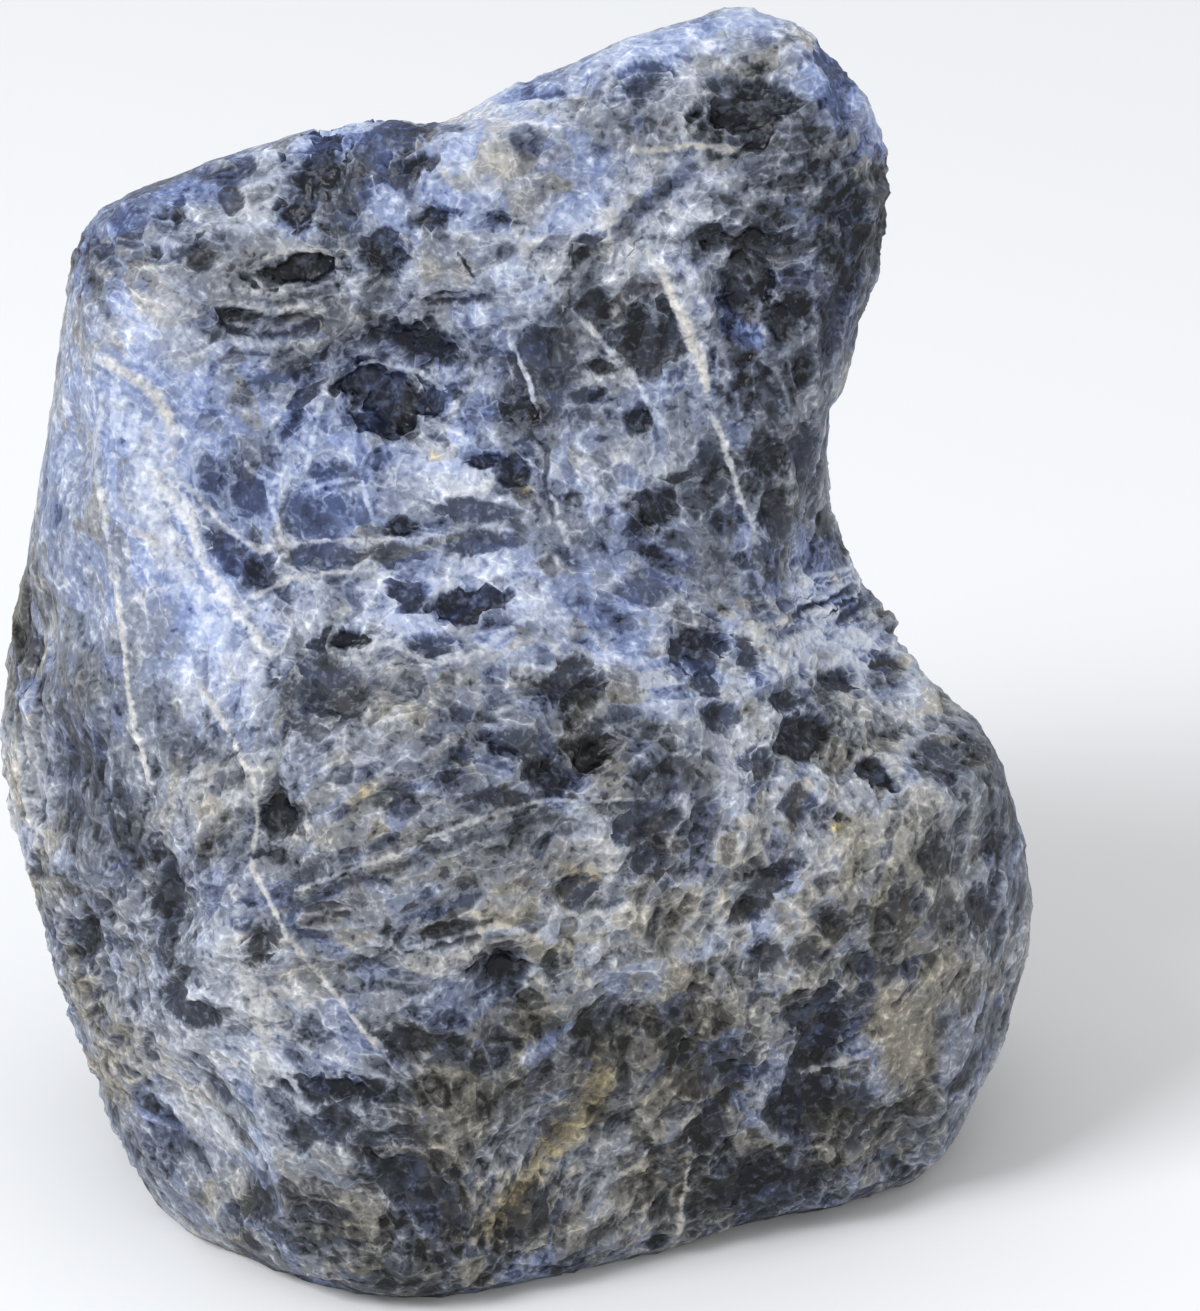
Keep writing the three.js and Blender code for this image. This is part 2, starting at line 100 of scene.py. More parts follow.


# Dark minerals seen in the photograph, and painted shade in some recesses: the slots under the forehead, the
# strip under the plate, the cavity and its roof, partly dark mineral, and the knob's right rim. A lean above
# 0 is clockwise, and a depth below 0 stands out.
DARK_PATCHES = {
    # The knob
    "knob pit": black((755, 112), (46, 36), lean=-15, depth=1.8),
    "knob left pit": slate((650, 80), (30, 17), lean=-15, depth=0.6),
    "knob upper chip": slate((835, 60), (13, 30), lean=-25, depth=0.6),
    # Painted shade on the knob's right side.
    "knob rim": black((889, 229), (13, 60), depth=0.6),
    "knob cell 1": black((715, 236), (17, 14), depth=0.8),
    "knob cell 2": black((758, 242), (14, 15), depth=0.8),
    "knob cell 3": patch((745, 265), (11, 12), depth=0.7),
    "knob cell 4": black((734, 303), (15, 26)),
    "knob cell 5": patch((767, 284), (10, 14), depth=0.7),
    "knob cell 6": patch((787, 322), (13, 20), depth=0.8),
    "knob cell 7": black((803, 372), (11, 22), lean=10, depth=0.7),
    "knob cell 8": patch((835, 320), (10, 40), lean=14, depth=0.7),
    "knob cell 9": patch((770, 395), (11, 20), lean=-10, depth=0.7),
    "knob cell 10": patch((712, 470), (14, 24), lean=-8, depth=0.7),
    "knob cell 11": black((765, 455), (14, 18), depth=0.7),
    "knob cell 12": patch((803, 450), (11, 28), depth=0.7),
    "knob cell 13": patch((775, 515), (12, 22), lean=-12, depth=0.7),
    # The shield under the knob
    "shield notch": patch((590, 258), (16, 27), lean=28, depth=0.8),
    "shield slate": patch((600, 308), (18, 16)),
    "shield speckled side": black((652, 340), (44, 32), lean=15, depth=0.8),
    "shield block": patch((546, 366), (32, 42), lean=14, depth=0.7, tone=0.06),
    "shield foot": black((524, 410), (28, 18), lean=12),
    "shield middle": black((602, 366), (17, 9), lean=12, depth=0.7),
    "shield foot left": patch((591, 397), (18, 9), depth=0.7),
    "shield foot right": black((641, 420), (14, 13), lean=20, depth=0.8),
    # The forehead and the saddle
    "streaky chunk": black((320, 164), (30, 44), lean=28, depth=1.0),
    "streaky chunk foot": black((299, 212), (20, 20), depth=1.0),
    "slab": patch((358, 190), (19, 64), lean=22, depth=-0.7, tone=0.1),
    "skyline mound": patch((405, 134), (36, 13), lean=-6, depth=-0.4, tone=0.08),
    "beside the slab": black((412, 168), (28, 18), lean=-20, depth=0.7),
    "over the plate": black((387, 254), (25, 21)),
    # Painted shadow under the plate.
    "under the plate": patch((455, 298), (34, 8), depth=0.7),
    "saddle pit": black((438, 218), (20, 14), lean=-12, depth=1.0),
    "saddle slot": patch((505, 219), (18, 8), lean=14, depth=0.7),
    # Painted shadow in the slots under the forehead's ledges.
    "forehead slot": black((303, 270), (46, 18), lean=-4, depth=1.6),
    "second slot": black((242, 321), (30, 12), lean=6),
    "second slot right": black((292, 326), (30, 12), lean=-8, depth=0.8),
    "forehead spot 1": slate((133, 229), (17, 13), lean=-30),
    "forehead spot 2": patch((180, 214), (9, 19), lean=15, depth=0.5),
    "forehead spot 3": patch((233, 196), (13, 12)),
    "forehead spot 4": slate((243, 160), (13, 8)),
    "forehead spot 5": patch((203, 250), (17, 17), depth=0.7),
    "forehead spot 6": patch((157, 250), (8, 9), depth=0.5),
    "forehead spot 7": slate((122, 215), (13, 11), depth=0.4),
    "blade above": patch((336, 322), (11, 32), lean=23, depth=-0.5, tone=0.2),
    "blade below": patch((282, 372), (46, 11), lean=-27, depth=-0.5, tone=0.24),
    "under the blade": patch((303, 400), (16, 32), lean=24, depth=0.8),
    # The bowl and its cavity
    # The cavity is partly dark mineral and partly painted shade; its roof faces down and is painted shade.
    "cavity": black((392, 396), (48, 34), lean=12, depth=1.3),
    "cavity roof": black((415, 342), (40, 19), lean=12, depth=1.1),
    "beside the cavity": patch((454, 392), (10, 8)),
    "middle slot": black((481, 460), (22, 10)),
    "middle slate": patch((516, 473), (19, 19), lean=-15, depth=1.0),
    "bowl plate": slate((475, 510), (40, 10), lean=4),
    "bowl slate 1": black((402, 528), (22, 10), lean=-10, depth=0.8),
    "bowl slate 2": slate((400, 553), (28, 14)),
    "bowl slate 3": patch((408, 590), (20, 20), depth=0.7),
    "bowl slate 4": slate((476, 542), (36, 12)),
    "right of the bowl": black((660, 508), (20, 40), lean=42, depth=1.0),
    "seat slot": black((472, 600), (38, 17), lean=-12, depth=1.0),
    "slate on the bench": slate((645, 590), (28, 18)),
    "blue cell": patch((320, 515), (46, 30), depth=0.5, tone=0.2),
    "blue cell top": patch((337, 474), (32, 13), depth=0.4, tone=0.22),
    "brown cell": slate((322, 556), (38, 16)),
    "slate left of the bowl": slate((250, 486), (20, 28), lean=-25, depth=0.6),
    "slate over the wedge": slate((216, 480), (20, 22), lean=-20),
    "wedge": patch((256, 568), (44, 20), lean=40, depth=0.8),
    # The belly and the lip above it
    "lip nick": black((346, 638), (32, 13), lean=-8),
    "lip cluster": slate((322, 692), (40, 38), lean=20, depth=0.8),
    "lip hollow": slate((425, 646), (32, 14), depth=0.7),
    "belly block": patch((575, 684), (34, 24), depth=1.0),
    "dark block": black((590, 753), (24, 18), lean=-25),
    "belly slab": slate((525, 743), (42, 11), lean=8),
    "belly pit 1": black((554, 777), (32, 22)),
    "belly pit 2": patch((448, 778), (11, 10)),
    "belly pit 3": patch((462, 755), (9, 15)),
    "belly pit 4": patch((494, 798), (34, 11)),
    "belly pit 5": patch((402, 800), (18, 14), depth=0.7),
    "belly pit 6": patch((640, 825), (32, 18), lean=-15, depth=0.8),
    "belly pit 7": slate((573, 893), (26, 15), depth=0.8),
    "belly pit 8": patch((437, 932), (40, 15), lean=-8, depth=0.8),
    "belly pit 9": black((497, 966), (24, 18)),
    "belly pit 10": patch((550, 964), (10, 16)),
    "belly pit 11": patch((413, 1040), (32, 12)),
    "belly pit 12": patch((655, 865), (26, 20), lean=-20, depth=0.7),
    # The right shoulder
    "shoulder pit": patch((697, 652), (30, 42), lean=-25, depth=1.1),
    "shoulder black": black((806, 735), (30, 22), lean=-20, depth=1.2),
    "shoulder streak": slate((748, 662), (12, 24), lean=-25),
    "shoulder dark": patch((786, 700), (15, 12)),
    "shoulder edge": slate((884, 664), (17, 11), lean=20),
    "shoulder slate 1": slate((758, 765), (17, 24), lean=10),
    "shoulder slate 2": slate((800, 808), (15, 19)),
    "shoulder slate 3": slate((718, 715), (20, 14)),
    "shoulder slate 4": slate((940, 760), (16, 24), lean=-35),
    "under the bump": patch((836, 684), (22, 11), lean=8),
    "rimmed pit": patch((877, 772), (22, 15), lean=38, depth=1.4),
    "tiny hole": black((838, 819), (7, 8), depth=0.6),
    # The lobe
    "lobe black": black((821, 1029), (28, 46), lean=15, depth=1.2),
    "lobe black below": black((804, 1108), (31, 31), depth=1.0),
    "lobe black right": patch((850, 1110), (20, 28), depth=0.7),
    "lobe pit 1": black((704, 1133), (22, 30), lean=20, depth=0.8),
    "lobe pit 2": patch((690, 1083), (14, 15)),
    "lobe pit 3": patch((740, 1068), (11, 26), lean=25),
    "lobe pit 4": patch((766, 958), (13, 17)),
    "lobe pit 5": patch((778, 876), (24, 12), lean=-30),
    "lobe pit 6": patch((748, 910), (24, 12), lean=-30),
    "lobe pit 7": patch((835, 926), (15, 16), depth=0.7),
    "lobe pit 8": patch((992, 846), (14, 16)),
    "lobe pit 9": patch((937, 860), (14, 23)),
    "lobe pit 10": slate((897, 914), (21, 16)),
    "lobe pit 11": slate((943, 919), (16, 19)),
    "lobe pit 12": patch((980, 912), (14, 22)),
    "lobe pit 13": slate((808, 958), (17, 15)),
    "lobe pit 14": slate((860, 968), (19, 14)),
    # The flank
    "flank eye": black((280, 815), (18, 19), depth=0.8),
    "flank pit 1": patch((166, 905), (14, 42), lean=6),
    "flank pit 2": patch((259, 944), (17, 17), depth=0.7),
    "flank pit 3": patch((172, 991), (13, 13)),
    "flank pit 4": patch((196, 1010), (28, 11), lean=12),
    "flank pit 5": slate((76, 760), (16, 20)),
    "flank pit 6": patch((92, 932), (13, 24), lean=10),
    # The prow and the foot
    "prow pit 1": black((337, 1088), (48, 15), lean=6),
    "prow pit 2": patch((332, 1121), (18, 19), depth=0.7),
    "prow pit 3": patch((298, 1132), (15, 15)),
    "prow black": patch((407, 1180), (54, 34), lean=35, depth=0.9),
    "under the ochre": patch((528, 1212), (26, 38), lean=30),
    "foot pit": patch((257, 1202), (17, 22)),
    "foot black": black((760, 1190), (64, 28), lean=-12, depth=0.6),
}

# Pale veins, dark cracks and bands seen in the photograph, and painted shadow lines under ledges: the belly
# shadow here and the forehead's dark ledge lines below.
VEINS = {
    # The flank
    "flank cream": vein([(90, 332), (124, 317)], 10, show=0.6, warm=0.8),
    "flank crest above": vein([(98, 352), (125, 368), (150, 385), (168, 412), (174, 440)], 6, show=0.9,
                              warm=0.6),
    "flank crest": vein([(136, 456), (168, 490), (190, 517), (202, 557), (228, 596), (254, 632),
                         (272, 662)], 6, show=1.0, tone=0.82, warm=0.3),
    "flank crest fork": vein([(130, 523), (160, 540), (190, 557)], 3.5, warm=0.6),
    "flank pale band": vein([(108, 385), (140, 450), (155, 520), (190, 590), (240, 650)], 15, show=0.5,
                            tone=0.8, warm=0.1),
    "flank seam above": vein([(104, 395), (98, 465), (113, 563)], 3, warm=0.3),
    "flank seam": vein([(113, 563), (124, 632), (130, 696), (150, 788)], 3, show=0.9, warm=0.5),
    "low crest": vein([(199, 679), (225, 725), (254, 777), (257, 820), (250, 862), (270, 900), (282, 928),
                       (300, 950), (330, 985), (358, 1021), (379, 1047)], 3, show=0.85, warm=0.6),
    "low fork left": vein([(243, 971), (251, 1001), (260, 1032), (269, 1053)], 5, warm=0.5),
    "low fork right": vein([(260, 971), (264, 1001), (277, 1025), (303, 1045)], 3, show=0.65, warm=0.5),
    "prow line": vein([(262, 1060), (277, 1064), (303, 1101)], 4),
    # The knob and the shield
    "knob ochre edge": vein([(640, 152), (690, 146), (745, 152)], 4, show=0.65, warm=0.9),
    "knob vein": vein([(658, 262), (680, 310), (695, 345), (706, 372), (711, 405)], 5, show=0.95, warm=0.6),
    "knob vein below": vein([(711, 405), (725, 445), (740, 495), (757, 538)], 3, show=0.8, warm=0.4),
    "shield line": vein([(510, 335), (540, 412)], 2.5, show=0.85),
    "shield ridge": vein([(580, 315), (615, 355), (645, 392), (660, 420)], 4, show=0.8),
    "shield blade": vein([(705, 165), (650, 205), (606, 246)], 10, show=0.95, tone=0.2),
    "shield blade foot": vein([(606, 246), (560, 298), (512, 334)], 5, show=0.65, tone=0.66),
    # The forehead and the bowl
    "slot rim": vein([(258, 262), (285, 249), (322, 250), (346, 266)], 3, warm=0.6),
    "plate edge": vein([(408, 288), (440, 300), (478, 294), (488, 272)], 3, show=0.55),
    "plate crack": vein([(462, 255), (473, 272)], 2, show=0.95, tone=BLACK),
    "cavity line": vein([(352, 368), (380, 362), (412, 368), (440, 383)], 3, show=0.85),
    "bowl rim": vein([(177, 471), (203, 499), (229, 529), (262, 548), (300, 543)], 3, warm=0.4),
    "bowl crack": vein([(520, 425), (550, 450), (545, 482), (556, 520)], 2.5, show=0.85, tone=CHARCOAL),
    "bowl line": vein([(550, 486), (560, 520), (572, 556)], 3, show=0.65),
    "net above the cell": vein([(248, 465), (271, 482), (306, 473), (323, 395)], 2.5, show=0.7),
    "cell outline left": vein([(270, 488), (283, 545)], 2.5),
    "cell outline top": vein([(307, 488), (348, 478)], 2.5, show=0.65),
    "cell outline right": vein([(364, 486), (374, 519)], 2.5),
    "cell outline foot": vein([(283, 545), (330, 538), (364, 540)], 2.5, warm=0.4),
    "net below the cell": vein([(254, 595), (289, 577), (352, 569), (375, 551)], 3, show=0.7, warm=0.5),
    "bench lip": vein([(352, 652), (390, 640), (430, 662), (478, 655), (512, 628), (540, 605)], 5,
                      warm=0.2),
    # The right shoulder with its silver bump
    "waist band": vein([(705, 602), (750, 628), (800, 652), (860, 668)], 9, show=0.65),
    "silver edge 1": vein([(782, 596), (815, 578), (856, 568)], 3, show=0.8, tone=0.86),
    "silver edge 2": vein([(806, 614), (834, 590), (862, 580)], 3.5, show=0.8, tone=0.86),
    "silver edge 3": vein([(788, 640), (830, 630), (876, 640)], 4, tone=0.82),
    "silver crack 1": vein([(786, 622), (822, 602), (852, 590)], 4.5, show=0.95, tone=BLACK),
    "silver crack 2": vein([(780, 640), (806, 624)], 7, show=0.9, tone=BLACK),
    "silver crack 3": vein([(828, 628), (862, 606), (872, 596)], 4.5, show=0.9, tone=CHARCOAL),
    "silver crack 4": vein([(778, 560), (780, 590), (784, 620)], 6, show=0.7, tone=SLATE),
    "pit rim": vein([(852, 768), (868, 750), (892, 762), (900, 788)], 4, warm=0.5),
    # The belly and the foot
    "belly ledge": vein([(300, 886), (365, 864), (417, 845), (452, 827), (538, 801), (640, 800)], 2.5,
                        show=0.65, warm=0.1),
    "belly shadow": vein([(330, 892), (400, 866), (470, 838), (560, 815)], 4, show=0.65, tone=SLATE),
    "lower ledge": vein([(400, 949), (452, 938), (495, 923), (530, 934), (582, 949)], 3, show=0.65),
    "belly vein": vein([(547, 910), (582, 916), (640, 908)], 2.5),
    "lobe edge": vein([(808, 1074), (840, 1063), (860, 1054)], 3, warm=0.3),
    "foot seam left": vein([(655, 1130), (640, 1165), (610, 1180)], 4, show=0.65, warm=0.4),
    "foot seam right": vein([(686, 1150), (682, 1190), (672, 1240)], 3),
}

# The forehead's ledges: thin lines, pale and dark in turn, one under the other; the dark lines are painted
# shadow under the ledges. Each sags in the middle and is shorter than the one above. All sizes are in pixels.
LEDGE_ROWS = 8
LEDGE_TOP = 292
LEDGE_STEP = 9
LEDGE_LEFT, LEDGE_MIDDLE, LEDGE_RIGHT = 222, 285, 340
LEDGE_LEFT_RISE, LEDGE_RIGHT_RISE = 6, 12
LEDGE_RAGGED = (0, 5, 10)
LEDGE_SHORTER = 6
LEDGE_HALF = 2.0
LEDGE_SHOW = 0.5
for row in range(LEDGE_ROWS):
    level = LEDGE_TOP + LEDGE_STEP * row
    left = (LEDGE_LEFT + LEDGE_RAGGED[row % len(LEDGE_RAGGED)], level - LEDGE_LEFT_RISE)
    right = (LEDGE_RIGHT - LEDGE_SHORTER * row, level - LEDGE_RIGHT_RISE)
    # The odd rows are painted ledge shadows, the even rows pale ledge edges.
    tone = CHARCOAL if row % 2 else PALE
    VEINS[f"ledge line {row}"] = vein([left, (LEDGE_MIDDLE, level), right], LEDGE_HALF, LEDGE_SHOW, tone)

# Broad areas that are bluer, lighter, warmer, more speckled or more ochre than the rest, or less so.
# Their light values hold painted light and shade as well as the stone's own paler and darker zones: lighter
# where faces turn up to the light, darker where they turn away, in hollows and towards the foot. Part of the
# blue on the tops is painted cool sky light.
AREAS = {
    # The knob
    # Painted light: the crown faces the sky and is lighter and bluer, partly pale blue stone.
    "knob crown": area([(600, 60), (690, 25), (790, 22)], 40, blue=0.42, light=0.34, speckle=-0.4),
    "knob right rim": area([(825, 60), (880, 140)], 24, blue=0.9, light=0.15, speckle=-0.3),
    # Painted shade: the brow, the right side and the foot of the knob face away from the light and are
    # darker.
    "knob brow": area([(760, 85), (820, 100)], 40, light=-0.35),
    "knob side": area([(850, 190), (835, 300)], 50, light=-0.4, blue=0.1, speckle=0.3),
    "knob foot": area([(780, 250), (770, 350), (770, 450), (800, 530)], 55, light=-0.32, speckle=0.4),
    "beside the knob vein": area([(640, 250), (690, 290)], 36, light=0.25),
    "blue glint": area([(735, 325), (752, 338)], 9, blue=1.5),
    # The forehead and the saddle
    "saddle": area([(450, 180), (500, 160), (560, 180)], 60, blue=0.5, light=0.1, speckle=-0.5),
    "saddle right": area([(560, 190), (590, 170)], 34, light=-0.25),
    # Painted light: the skyline along the top faces the sky and is lighter and bluer, partly pale blue stone.
    "skyline": area([(330, 118), (400, 108), (470, 100), (540, 92)], 30, blue=0.65, light=0.26),
    "skyline right": area([(545, 112), (590, 102)], 26, light=-0.12, blue=-0.3),
    "plate": area([(435, 272), (465, 268)], 24, light=0.12, warm=0.2, speckle=-0.8),
    # Painted light on the forehead rim along the top, lighter and bluer, partly pale blue stone; painted
    # shade on the forehead corner, which the key light strikes hardest.
    "forehead rim": area([(100, 205), (240, 155), (350, 120)], 22, blue=0.4, light=0.08, speckle=-0.4),
    "forehead corner": area([(85, 240), (120, 270), (150, 185), (205, 178)], 34, light=-0.5, blue=0.2),
    "forehead left": area([(180, 320), (160, 235), (240, 230), (265, 185)], 45, light=0.25, speckle=-0.1),
    "forehead middle": area([(300, 200), (390, 190)], 60, light=-0.05, speckle=-0.1),
    "under the forehead": area([(150, 340), (240, 400)], 40, light=-0.03, blue=0.05, speckle=-0.3),
    # The shield and the bowl
    "shield top": area([(560, 250), (620, 225), (690, 195)], 40, light=0.38),
    "shield foot": area([(540, 400), (640, 415)], 36, light=-0.25),
    "bowl": area([(250, 400), (420, 450), (600, 480)], 120, blue=0.25, light=0.08),
    "bowl left": area([(240, 430), (270, 480), (330, 480)], 50, blue=0.3, light=0.1, speckle=-0.2),
    "left of the bowl": area([(190, 400), (250, 430)], 36, light=-0.1),
    # Painted light on the bowl floor, which faces up.
    "bowl floor": area([(445, 480), (495, 478)], 38, light=0.32, blue=0.05, speckle=-0.2),
    "bowl floor left": area([(385, 480), (412, 492)], 26, light=-0.25),
    "bowl right": area([(600, 470), (640, 480)], 30, light=0.25),
    # Painted shade on the right of the bowl, a face turned away from the light.
    "right of the bowl": area([(560, 540), (640, 540), (710, 490), (720, 560)], 40, light=-0.4, blue=-0.25),
    "wedge side": area([(240, 545), (285, 590)], 32, light=-0.35),
    "bowl ochre": area([(434, 455), (440, 459)], 5, ochre=0.8),
    "middle ochre": area([(522, 490), (528, 492)], 4, ochre=0.8),
    # Painted light on the seat and the bench, which face up to the light; the bench is partly blue stone.
    "seat": area([(245, 615), (330, 590), (490, 600)], 50, light=0.36, blue=0.25, speckle=-0.2),
    "bench": area([(480, 640), (600, 600), (700, 640)], 60, blue=0.3, light=0.1, speckle=-0.3),
    "bench foot": area([(600, 680), (650, 690)], 34, light=0.25, warm=0.25),
    # The flank
    # Painted light: the upper flank faces up and left to the light and is lighter and bluer, partly pale blue
    # stone.
    "upper flank": area([(85, 380), (105, 480), (145, 580)], 88, blue=0.42, light=0.12, speckle=-0.7),
    "flank middle": area([(200, 690), (270, 710)], 34, light=0.12, blue=0.15),
    "flank knee": area([(245, 850), (285, 862)], 30, light=-0.25, blue=-0.3),
    "flank foot": area([(225, 750), (240, 920), (240, 1040)], 45, light=0.18, warm=0.1),
    # Painted shade: the flank side faces away to the left and is darker.
    "flank side": area([(80, 680), (92, 770), (110, 860)], 36, light=-0.4),
    "low flank": area([(110, 1060), (190, 1090), (240, 1150), (200, 1235), (130, 1215)], 45, light=0.2,
                      warm=0.12, speckle=-0.2),
    "low flank hollow": area([(165, 1150), (205, 1168)], 26, light=-0.25),
    "low flank foot": area([(160, 1225), (205, 1245)], 26, light=0.3),
    # Painted shade: the top of the side strip along the left edge faces away and is darker.
    "side strip top": area([(14, 560), (20, 640)], 16, light=-0.35),
    "side strip": area([(18, 600), (34, 700)], 26, light=-0.05, warm=0.5, speckle=0.3),
    "side strip middle": area([(20, 765), (36, 845)], 26, light=0.36, warm=0.4, speckle=0.3),
    "side strip foot": area([(40, 890), (110, 1080)], 24, light=-0.1, warm=0.4, speckle=0.3),
    # The right shoulder and the lobe
    # Painted light: the waist and the right shoulder face up and are lighter and bluer, partly blue stone.
    "waist": area([(760, 540), (840, 560)], 35, light=0.3, blue=0.3),
    "silver bump": area([(800, 590), (835, 600), (850, 640)], 36, light=0.3, blue=0.3, speckle=0.4),
    "right shoulder": area([(765, 640), (840, 650), (920, 690)], 42, blue=0.3, light=0.44),
    "shoulder ochre": area([(832, 828), (838, 828)], 5, ochre=0.8),
    # Painted shade on the lobe shoulder at the right edge; painted light on the lobe top, which faces up.
    "lobe shoulder": area([(970, 770), (1000, 810)], 26, light=-0.4),
    "lobe top": area([(740, 765), (800, 770), (840, 760), (920, 800), (960, 850)], 40, light=0.34),
    "lobe": area([(850, 860), (900, 1000)], 90, warm=0.4, light=-0.2),
    "beige lump": area([(890, 1030), (905, 1050)], 26, warm=0.9, light=0.2, speckle=-0.5),
    "lobe foot": area([(905, 1150), (930, 1140)], 26, light=-0.25),
    # The belly
    "belly": area([(400, 820), (600, 860), (700, 960)], 130, warm=0.25, speckle=0.1),
    # Painted shade: the belly hollow and the strip under it are darker.
    "belly hollow": area([(440, 770), (560, 750), (640, 770), (720, 840)], 45, light=-0.34, speckle=0.1),
    "under the belly hollow": area([(500, 850), (560, 850)], 30, light=-0.3),
    "belly left": area([(260, 870), (320, 860), (400, 840)], 50, blue=0.25, light=-0.12),
    "belly middle": area([(600, 860), (650, 890), (740, 870)], 60, light=0.38),
    "belly right": area([(790, 830), (850, 860)], 50, light=0.15, blue=0.15),
    "belly ochre": area([(565, 872), (598, 876)], 10, ochre=0.5),
    "lip ochre": area([(350, 805), (368, 782)], 9, ochre=0.45),
    # Painted shade: the low belly is darker towards the foot.
    "low belly": area([(460, 1080), (560, 1060), (680, 1050)], 60, light=-0.46, warm=0.5, speckle=0.2),
    # The foot
    # Painted shade: the foot and the prow foot are darker towards the bottom, where the stone meets the
    # floor.
    "foot": area([(260, 1230), (420, 1230), (620, 1220), (860, 1140)], 60, light=-0.25, warm=0.35,
                 speckle=0.2),
    "foot middle": area([(480, 1215), (560, 1220), (620, 1215)], 40, light=0.3),
    "prow foot": area([(360, 1285), (440, 1280)], 24, light=-0.4),
    "ochre band": area([(598, 1075), (590, 1105), (560, 1135), (520, 1185), (485, 1235)], 15, ochre=0.6),
}
AREA_KINDS = ("blue", "light", "warm", "speckle", "ochre")

# How far a marking reaches along the line of sight before it fades, in metres.
SIGHT_REACH = 9 * MM

# How far apart, in pixels, depths are looked up along a line. A pixel beside the stone is moved onto it in
# a number of tries, each by a share of the way to the heart.
SIGHT_STEP = 10
SIGHT_TRIES = 40
SIGHT_SHARE = 0.02

# Veins: a distance in pixels that is past every vein, the most half widths that are kept, the half widths
# over which an end tapers, and the tone of a vein that is level with the stone. Paler ones stand up.
FAR = 1e6
VEIN_REACH = 6
VEIN_TAPER = 3
VEIN_LEVEL = 0.4

# Which way the grains run: the middle and reach of each region in pixels, the lean of its grains in degrees
# (clockwise from level in the picture), and how many times longer than wide they are. STILL is the weight of
# grains that don't run.
FLOWS = {
    "forehead": dict(at=(280, 290), reach=110, lean=-6, stretch=2.2),
    "saddle": dict(at=(520, 180), reach=110, lean=-25, stretch=1.4),
    "knob": dict(at=(720, 120), reach=120, lean=-35, stretch=1.5),
    "knob foot": dict(at=(780, 400), reach=150, lean=78, stretch=2.1),
    "bowl": dict(at=(570, 350), reach=120, lean=-50, stretch=1.8),
    "bowl floor": dict(at=(430, 520), reach=110, lean=-12, stretch=1.7),
    "flank": dict(at=(140, 600), reach=200, lean=80, stretch=1.8),
    "belly": dict(at=(500, 850), reach=230, lean=-14, stretch=1.6),
    "lobe": dict(at=(850, 950), reach=170, lean=-58, stretch=1.6),
    "prow": dict(at=(330, 1120), reach=130, lean=40, stretch=1.6),
    "foot": dict(at=(650, 1150), reach=130, lean=-62, stretch=1.8),
}
STILL = 0.05

# Clouds that push grains about: the size and the push of each, in millimetres.
WARPS = ((14, 5.0), (4, 1.0))

# Cloudy noises: the size of their blots in millimetres, and the detail and roughness of their edges.
ZONES = dict(size=38.0, detail=2.0)
HUES = dict(size=12.0, detail=2.0)
CLOUDS = dict(size=8.0, detail=3.0, roughness=0.65)
SEAMS = dict(size=7.0)
STREAKS = dict(size=5.0, detail=2.0)
RIPPLES = dict(size=2.4)
FRAYS = dict(size=1.6, detail=2.0, roughness=0.7)
SPECKS = dict(size=0.85)

# The middle of what runs from 0 to 1, such as a noise or a chance.
MIDDLE = 0.5

# Sizes of big and small crystals in millimetres, and how blunt dark patches are: 1 is a diamond, 2 is round.
BIG_SIZE = 7.0
SMALL_SIZE = 2.6
CORNERS = 1.4

# How much the broad zones change the sides that the photograph doesn't show. A vertex is seen if it faces the
# eye by more than the first value of UNSEEN, and unseen if it does by less than the second.
ZONE_WEIGHTS = {"light": 2.0, "blue": 4.0, "speckle": 2.5}
UNSEEN = (0.3, -0.2)

# The share of dark crystals, the edges of small pits and of dark patches, the width of veins in half widths,
# how much crystals fray, and the half widths of thin lines in units of their noises.
SHARE_BASE = -0.2
SHARE_WEIGHTS = {"cloud": -1.2, "speckle": 0.5, "near_patch": 0.6}
PIT_WEIGHTS = {"share": 0.25, "fray": -1.0}
EDGE_WEIGHTS = {"near_patch": 1.0, "fray": 0.66, "small": 0.42, "cloud": -0.45}
WIDTH_BASE = 0.9
WIDTH_WEIGHTS = {"fray": 2.4, "cloud": 1.6}
CRYSTAL_FRAY = 0.5
STREAK_HALF = 0.025
RIPPLE_HALF = 0.035
SEAM_HALF = 0.015

# Steps: a part of the pattern goes from 0 at the first value to 1 at the second.
DARK_STEP = (0.02, 0.2)
NET_STEP = (0.0, 0.12)
CHOICE_STEP = (-0.04, 0.04)
PALE_STEP = (-0.1, 0.06)
WHOLE_STEP = (-0.25, 0.1)
UNBROKEN_STEP = (-0.4, -0.1)
GRIT_STEP = (0.06, 0.16)
PIT_STEP = (0.05, 0.13)
PATCH_STEP = (0.42, 0.62)
VEIN_STEP = (-0.6, 0.6)
SALT_STEP = (0.05, 0.16)
PEPPER_STEP = (-0.05, -0.16)
BLUE_STEP = (0.47, 1.45)
WARM_STEP = (0.5, 1.3)
OCHRE_STEP = (0.1, 0.8)

